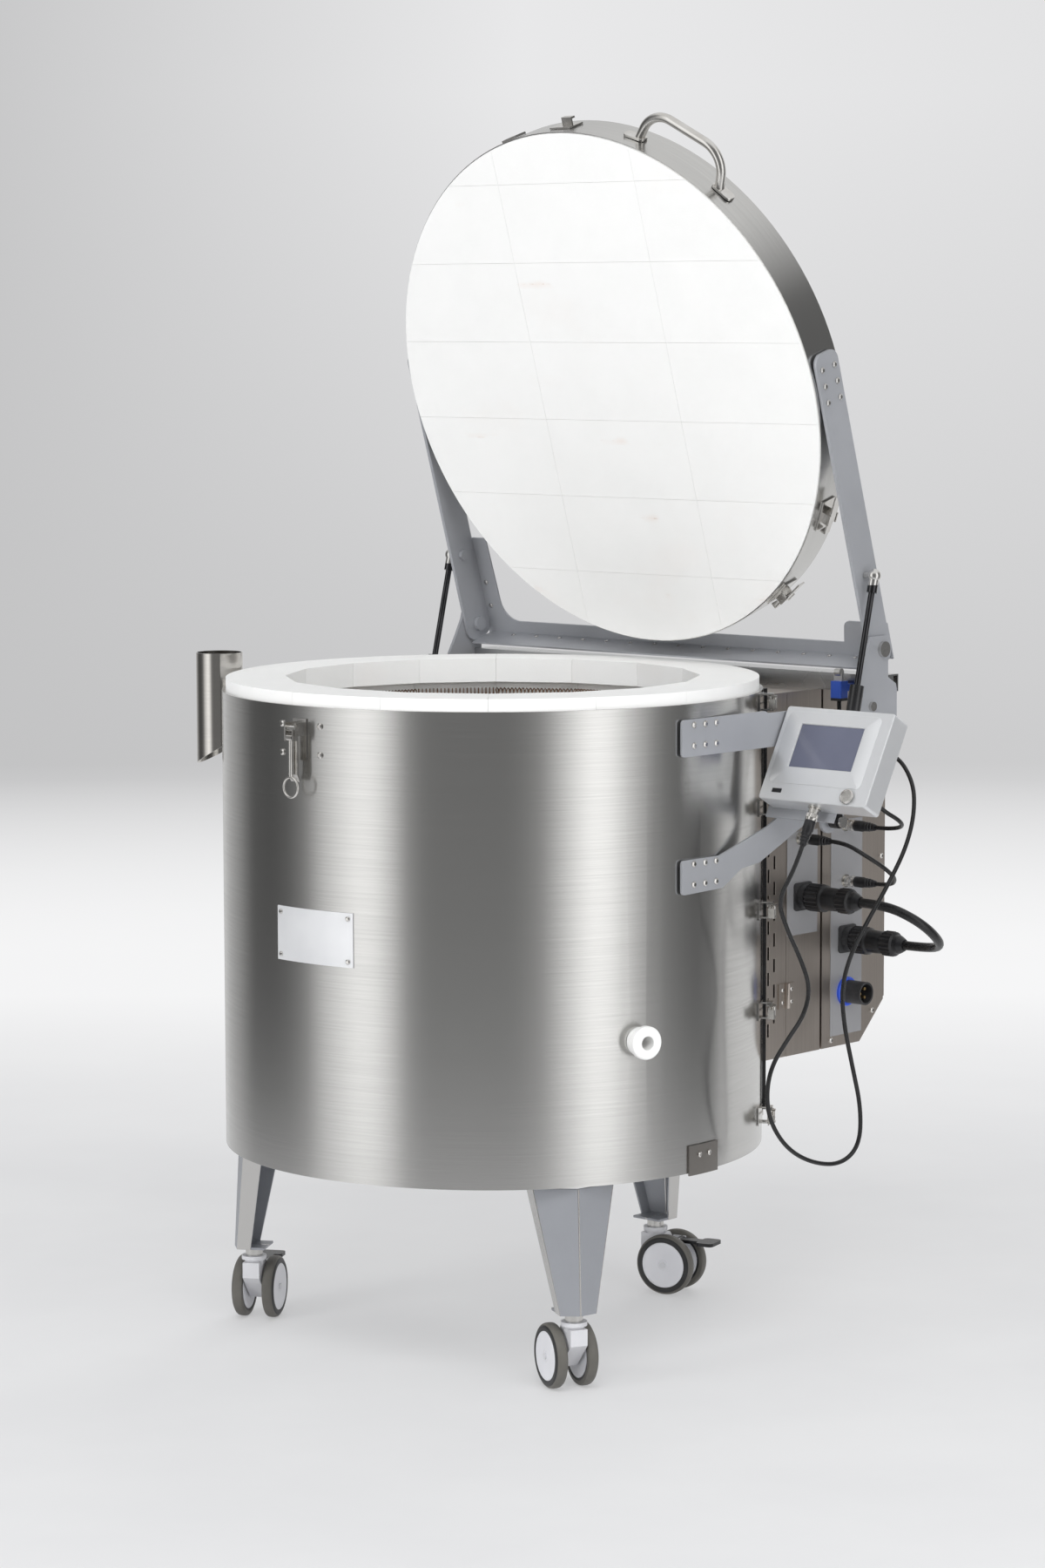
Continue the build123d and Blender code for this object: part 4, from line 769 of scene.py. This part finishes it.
def label_plate():
    material, tree, shader = tree_of("label_plate")
    spot = place(tree)
    grain = use_group(tree, grain_tree, spot, 1400.0, 12.0)
    parts = split(tree, spot)
    foot = maths(tree, "LESS_THAN", parts["Z"], foot_plate_top)
    strip = maths(tree, "GREATER_THAN", parts["Y"], rear_strips)
    colour = mix_colour(tree, grain["Cloud"], (0.66, 0.665, 0.68), (0.74, 0.745, 0.755))
    colour = mix_colour(tree, foot, colour, (0.33, 0.31, 0.29))
    colour = mix_colour(tree, strip, colour, (0.50, 0.50, 0.515))
    metal = maths(tree, "MAXIMUM", maths(tree, "MULTIPLY", strip, 0.6), stretch(tree, foot, 0, 1, 0.25, 1.0))
    give(shader, "Base Color", colour)
    give(shader, "Metallic", metal)
    give(shader, "Roughness", stretch(tree, grain["Grain"], 0, 1, 0.30, 0.40))
    give(shader, "Normal", bump(tree, grain["Height"], 0.00004))
    return material


dress(["body_plates"], label_plate())

# ---------------------------------------------------------------------------
# Latches, screws, side tube and seam strip
# Pressed and turned bright fittings: the front latch, the five latches down the
# drum's seam, the lid's clamps and all screws. A rubber strip closes the seam.
seam_latches = [f"seam_{kind}_{n}" for kind in ("lever", "loop") for n in range(1, 6)]
tube_steel = brushed_steel("tube_steel", place, (0.60, 0.58, 0.55), 500.0, 20.0, (0.10, 0.16), False, 0.0002)
dress(["body_screws", "latch_bases", "lid_latches", "front_latch_lever", "front_latch_bail", *seam_latches],
      bright_nickel)
dress(["side_tube"], tube_steel)
dress(["seam_strip"], sheath)

# ---------------------------------------------------------------------------
# Gas struts
# Black lacquered cylinders with black nitrided rods; each rod ends in a bright
# ball socket at its top.
rod_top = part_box("strut_rod_right")[1].z
ball_socket = 0.020
lacquer = plain_finish("black_lacquer", (0.012, 0.012, 0.013), (0.024, 0.024, 0.026), (0.16, 0.26),
                       700.0, 20.0, 0.00004)


def blacked_rod():
    material, tree, shader = tree_of("blacked_rod")
    spot = place(tree)
    grain = use_group(tree, grain_tree, spot, 900.0, 40.0)
    socket = maths(tree, "GREATER_THAN", split(tree, spot)["Z"], rod_top - ball_socket)
    colour = mix_colour(tree, grain["Cloud"], (0.05, 0.05, 0.053), (0.085, 0.085, 0.09))
    give(shader, "Base Color", mix_colour(tree, socket, colour, (0.68, 0.67, 0.65)))
    give(shader, "Roughness", stretch(tree, grain["Cloud"], 0, 1, 0.12, 0.22))
    give(shader, "Normal", bump(tree, grain["Height"], 0.00003))
    give(shader, "Metallic", 1)
    return material


dress(["strut_cylinder_right", "strut_cylinder_left"], lacquer)
dress(["strut_rod_right", "strut_rod_left"], blacked_rod())

# ---------------------------------------------------------------------------
# Lid handle
# A bent stainless tube on the lid's band with two wide bends. Its ends are
# welded to small rounded pads that are riveted to the band.
handle_angle = math.radians(-59.35)
handle_height = 871.5
handle_half = 65.5
handle_slant = 7.0
handle_top = 383.0
handle_foot = 337.5
handle_tube = 6.0
handle_bend = 36.0
handle_sides = 24
pad_half_length, pad_half_width, pad_corner = 16.0, 8.0, 6.0
pad_layers = ((0.7, 0.0), (3.2, 0.0), (3.7, 0.5))
band_radius = 342.0


def on_band(along, reach, up=0.0):
    """Place on the open lid from one on the closed lid: along the band, out from its axis, and up."""
    outward = Vector((math.cos(handle_angle), math.sin(handle_angle), 0))
    sideways = Vector((-math.sin(handle_angle), math.cos(handle_angle), 0))
    closed = (outward * reach + sideways * along + Vector((0, 0, handle_height + up))) / 1000 - pivot
    return Matrix.Rotation(-lid_travel, 3, "X") @ closed + pivot


def rounded_path(corners, radius, steps=12):
    """Flat path with its inner corners rounded."""
    path = [Vector(corners[0])]
    for before, here, after in zip(corners, corners[1:], corners[2:]):
        here = Vector(here)
        back, on = (Vector(before) - here).normalized(), (Vector(after) - here).normalized()
        half_turn = back.angle(on) / 2
        middle = here + (back + on).normalized() * radius / math.sin(half_turn)
        start = here + back * radius / math.tan(half_turn) - middle
        end = here + on * radius / math.tan(half_turn) - middle
        for step in range(steps + 1):
            share = step / steps
            path.append(middle + (start * (1 - share) + end * share).normalized() * radius)
    return path + [Vector(corners[-1])]


def rounded_outline(left, right, top, bottom, radius, steps=8):
    """Rectangle with rounded corners, as flat points."""
    corners = ((right - radius, top + radius, -90), (right - radius, bottom - radius, 0),
               (left + radius, bottom - radius, 90), (left + radius, top + radius, 180))
    points = []
    for across, drop, start in corners:
        for n in range(steps + 1):
            turn = math.radians(start + 90 * n / steps)
            points.append((across + radius * math.cos(turn), drop + radius * math.sin(turn)))
    return points


def bent_handle():
    knee = handle_half - handle_slant
    path = rounded_path([(-handle_half, handle_foot), (-knee, handle_top), (knee, handle_top),
                         (handle_half, handle_foot)], handle_bend)
    points = []
    for number, here in enumerate(path):
        way = (path[min(number + 1, len(path) - 1)] - path[max(number - 1, 0)]).normalized()
        across = Vector((-way.y, way.x))
        for side in range(handle_sides):
            turn = 2 * math.pi * side / handle_sides
            at = here + across * handle_tube * math.cos(turn)
            points.append(on_band(at.x, at.y, handle_tube * math.sin(turn)))
    return points, skin(len(path), handle_sides)


def handle_pad(side):
    """Rounded plate tangent to the band under one end of the tube."""
    tilt = side * math.atan2(handle_half + pad_half_width, band_radius)
    outline = rounded_outline(-pad_half_length, pad_half_length, -pad_half_width, pad_half_width, pad_corner)
    points = []
    for lift, inset in pad_layers:
        reach = band_radius + lift
        for across, up in outline:
            across -= math.copysign(inset, across)
            up -= math.copysign(inset, up)
            points.append(on_band(reach * math.sin(tilt) + across * math.cos(tilt),
                                  reach * math.cos(tilt) - across * math.sin(tilt), up))
    return points, skin(len(pad_layers), len(outline))


handle = new_mesh("bent_handle", *merged([bent_handle(), handle_pad(-1), handle_pad(1)]), bright_nickel, 30)
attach(handle, "lid")
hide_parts("lid_handle")

# ---------------------------------------------------------------------------
# Sockets
# Nickel sockets for the thin leads, black ones for the heavy leads, and a black
# supply inlet with a blue ring and three brass pins.
heavy_sockets = ((257, 312, 552), (257, 405, 487))
inlet_middle = (265, 404, 418)
inlet_axis = (0, 0.404, 0.418)
blue_ring_end = 0.2552
pin_start, pin_reach = 0.2645, 0.0095


def socket_finish():
    material, tree, shader = tree_of("socket_finish")
    spot = place(tree)
    grain = use_group(tree, grain_tree, spot, 1600.0, 30.0)

    def near(centre, radius):
        middle = tuple(value / 1000 for value in centre)
        return maths(tree, "LESS_THAN", vector_maths(tree, "DISTANCE", spot, middle), radius / 1000)

    along = split(tree, spot)["X"]
    inlet = near(inlet_middle, 32)
    black = maths(tree, "MAXIMUM", near(heavy_sockets[0], 27), near(heavy_sockets[1], 27))
    black = maths(tree, "MAXIMUM", black, inlet)
    blue = maths(tree, "MULTIPLY", inlet, maths(tree, "LESS_THAN", along, blue_ring_end))
    gap = vector_maths(tree, "DISTANCE", vector_maths(tree, "MULTIPLY", spot, (0, 1, 1)), inlet_axis)
    pin = maths(tree, "MULTIPLY", maths(tree, "LESS_THAN", gap, pin_reach),
                maths(tree, "GREATER_THAN", along, pin_start))
    pin = maths(tree, "MULTIPLY", pin, inlet)
    colour = mix_colour(tree, black, (0.68, 0.66, 0.62), (0.018, 0.018, 0.02))
    colour = mix_colour(tree, blue, colour, (0.015, 0.09, 0.72))
    colour = mix_colour(tree, pin, colour, (0.70, 0.50, 0.22))
    colour = mix_colour(tree, maths(tree, "MULTIPLY", grain["Cloud"], 0.12), colour, (0.3, 0.3, 0.3))
    give(shader, "Base Color", colour)
    give(shader, "Metallic", maths(tree, "MAXIMUM", maths(tree, "SUBTRACT", 1.0, black), pin))
    give(shader, "Roughness", stretch(tree, black, 0, 1, 0.18, 0.42))
    give(shader, "Normal", bump(tree, grain["Height"], 0.00008))
    return material


dress(["sockets"], socket_finish())

# ---------------------------------------------------------------------------
# Limit switch
# A small switch on the beam that the closing lid presses: a dark foot, a blue
# body, and above it a steel lever with its roller.
switch_blue_from, switch_metal_from = 0.8085, 0.8302


def switch_finish():
    material, tree, shader = tree_of("switch_finish")
    spot = place(tree)
    grain = use_group(tree, grain_tree, spot, 1200.0, 30.0)
    height = split(tree, spot)["Z"]
    metal = maths(tree, "GREATER_THAN", height, switch_metal_from)
    blue = maths(tree, "MULTIPLY", maths(tree, "GREATER_THAN", height, switch_blue_from),
                 maths(tree, "SUBTRACT", 1.0, metal))
    colour = mix_colour(tree, blue, (0.02, 0.02, 0.022), (0.035, 0.09, 0.42))
    give(shader, "Base Color", mix_colour(tree, metal, colour, (0.70, 0.69, 0.67)))
    give(shader, "Metallic", metal)
    give(shader, "Roughness", stretch(tree, grain["Grain"], 0, 1, 0.28, 0.44))
    give(shader, "Normal", bump(tree, grain["Height"], 0.0001))
    return material


dress(["limit_switch"], switch_finish())

# ---------------------------------------------------------------------------
# Control panel
# Silver-white housing with a printed membrane, a slate-blue screen, a port flap
# and a bright push button. Across and drop are measured from its top left corner.
panel_top = Vector((346, 161.5, 813))
panel_across = Vector((1, 0, 0))
panel_up = Vector((0, math.sin(panel_lean), math.cos(panel_lean)))
panel_out = Vector((0, -math.cos(panel_lean), math.sin(panel_lean)))
panel_middle = Vector((78, 54))
button_place = (135, 113)
button_steps = [
    (-12, 7.4), (1.9, 7.4), (1.9, 9.0), (2.2, 9.5), (4.1, 9.5), (4.7, 9.1), (4.9, 8.6), (4.9, 7.6),
    (4.5, 7.3), (4.3, 7.1), (4.3, 5.2), (4.1, 5.0), (4.1, 4.2), (4.35, 4.0), (4.35, 2.0), (4.3, 0.4)]


def on_panel(across, drop, out=0.0):
    return panel_top + panel_across * across - panel_up * drop + panel_out * out


def membrane():
    """Thin printed sheet round the screen, with small rounded edges."""
    rim = rounded_outline(7.5, 149, 6.5, 102, 8)
    window = rounded_outline(30.4, 127.6, 22.1, 80.3, 0.8)
    rows = [(rim, 0.02, 0.0), (rim, 0.4, 0.0), (rim, 0.65, 0.6), (window, 0.65, -0.4), (window, 0.4, 0.0),
            (window, 0.02, 0.0)]
    points = []
    for outline, height, inset in rows:
        for spot in outline:
            across, drop = Vector(spot) + (panel_middle - Vector(spot)).normalized() * inset
            points.append(on_panel(across, drop, height) / 1000)
    faces = [(a, d, c, b) for a, b, c, d in skin(len(rows), len(rim), True)]
    return points, faces


def port():
    """Black flap set into the port's recess."""
    outline = rounded_outline(17.9, 32.1, 109.4, 114.6, 0.8, 4)
    points = [on_panel(across, drop, out) / 1000 for out in (-0.95, -0.25) for across, drop in outline]
    return points, skin(2, len(outline))


shell_finish = plain_finish("panel_shell", (0.70, 0.71, 0.725), (0.76, 0.77, 0.782), (0.30, 0.42),
                            1900.0, 9.0, 0.00008, "Grain", {"Metallic": 0.6, "Coat Weight": 0.15})
screen_cover = plain_finish("screen_cover", (0.105, 0.113, 0.165), (0.125, 0.134, 0.190), (0.12, 0.20),
                            2500.0, 11.0, 0.00001,
                            all_over={"Coat Weight": 0.6, "Coat Roughness": 0.06})
dress(["panel_housing"], shell_finish, 0.8)
dress(["panel_screen"], screen_cover)

sheet = new_mesh("panel_membrane", *membrane(), shell_finish, 25)
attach(sheet, "kiln")

port_flap = new_mesh("port_flap", *port(), black_moulding, 25)
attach(port_flap, "kiln")

button = new_mesh("push_button", *lathe(button_steps, on_panel(*button_place), panel_out, 64),
                  bright_nickel, 35)
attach(button, "panel_button")
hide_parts("panel_button")

# ---------------------------------------------------------------------------
# Caster wheels
# Twin wheels on one axle: taupe rubber treads with black side walls and pale
# moulded hub discs, in a ring of casters under the three legs.
caster_radius = 318.0
casters = {"left": (210.0, 119.0), "front": (-30.0, 154.5), "rear": (90.0, 14.5)}
wheel_trail, wheel_radius, wheel_inner = 24.0, 40.0, 13.0
tread_steps = [
    (0.2, 33.5), (0.2, 37.2), (0.8, 38.6), (2.2, 39.6), (4.5, 40.0), (9, 40.0), (11.5, 39.4),
    (13, 38.2), (13.6, 37.0), (13.6, 33.5)]
wall_steps = [
    (0.9, 30.5), (0.9, 33.4), (13.4, 33.4), (13.7, 34.5), (13.7, 36.9), (14.4, 35.8), (14.9, 34.0),
    (15.0, 32.0), (14.7, 30.9), (14.7, 30.5)]
disc_steps = [
    (0.4, 4.2), (0.4, 30.2), (14.2, 30.2), (14.7, 29.6), (14.9, 28.6), (14.55, 20.0), (14.3, 9.0),
    (14.3, 7.4), (14.0, 7.1), (14.0, 6.8), (14.3, 6.5), (14.4, 0.3)]
tread_rubber = plain_finish("tread_rubber", (0.105, 0.10, 0.088), (0.145, 0.138, 0.123), (0.44, 0.58),
                            1500.0, 22.0, 0.0001, "Grain")
side_rubber = plain_finish("side_rubber", (0.012, 0.012, 0.013), (0.03, 0.03, 0.03), (0.39, 0.53),
                           1500.0, 22.0, 0.0001, "Grain")
hub_moulding = plain_finish("hub_moulding", (0.72, 0.72, 0.75), (0.79, 0.79, 0.815), (0.28, 0.42),
                            1500.0, 22.0, 0.0001, "Grain")
wheel_parts = (("treads", tread_steps, True, tread_rubber, "black_rubber"),
               ("walls", wall_steps, True, side_rubber, "black_rubber"),
               ("discs", disc_steps, False, hub_moulding, "white_plastic"))

for key, (leg_angle, trail_angle) in casters.items():
    angle, trail = math.radians(leg_angle), math.radians(trail_angle)
    stem = Vector((caster_radius * math.cos(angle), caster_radius * math.sin(angle), 0))
    behind = Vector((math.cos(trail), math.sin(trail), 0))
    aside = Vector((-math.sin(trail), math.cos(trail), 0))
    axle = stem + behind * wheel_trail + Vector((0, 0, wheel_radius))
    for kind, steps, ring, finish, slot in wheel_parts:
        pair = merged([lathe(steps, axle + aside * side * wheel_inner, aside * side, 72, ring)
                       for side in (-1, 1)])
        piece = new_mesh(f"caster_{kind}_{key}", *pair, finish, 30)
        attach(piece, "caster_wheels_" + key)
        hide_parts("caster_wheels_" + key)

# ---------------------------------------------------------------------------
# Caster housings and brakes
# Pale moulded housings over the wheels, each with a steel stem, and a black
# brake pedal on the left and the rear one.
stem_start = 0.0862


def fork_finish():
    material, tree, shader = tree_of("fork_finish")
    spot = place(tree)
    grain = use_group(tree, grain_tree, spot, 1500.0, 18.0)
    metal = maths(tree, "GREATER_THAN", split(tree, spot)["Z"], stem_start)
    colour = mix_colour(tree, grain["Cloud"], (0.62, 0.62, 0.64), (0.70, 0.70, 0.72))
    give(shader, "Base Color", mix_colour(tree, metal, colour, (0.60, 0.59, 0.57)))
    give(shader, "Metallic", metal)
    give(shader, "Roughness", stretch(tree, metal, 0, 1, 0.36, 0.22))
    give(shader, "Normal", bump(tree, grain["Height"], 0.0001))
    return material


dress([f"caster_fork_{key}" for key in casters], fork_finish())
dress(["brake_pedal_left", "brake_pedal_rear"], black_moulding)
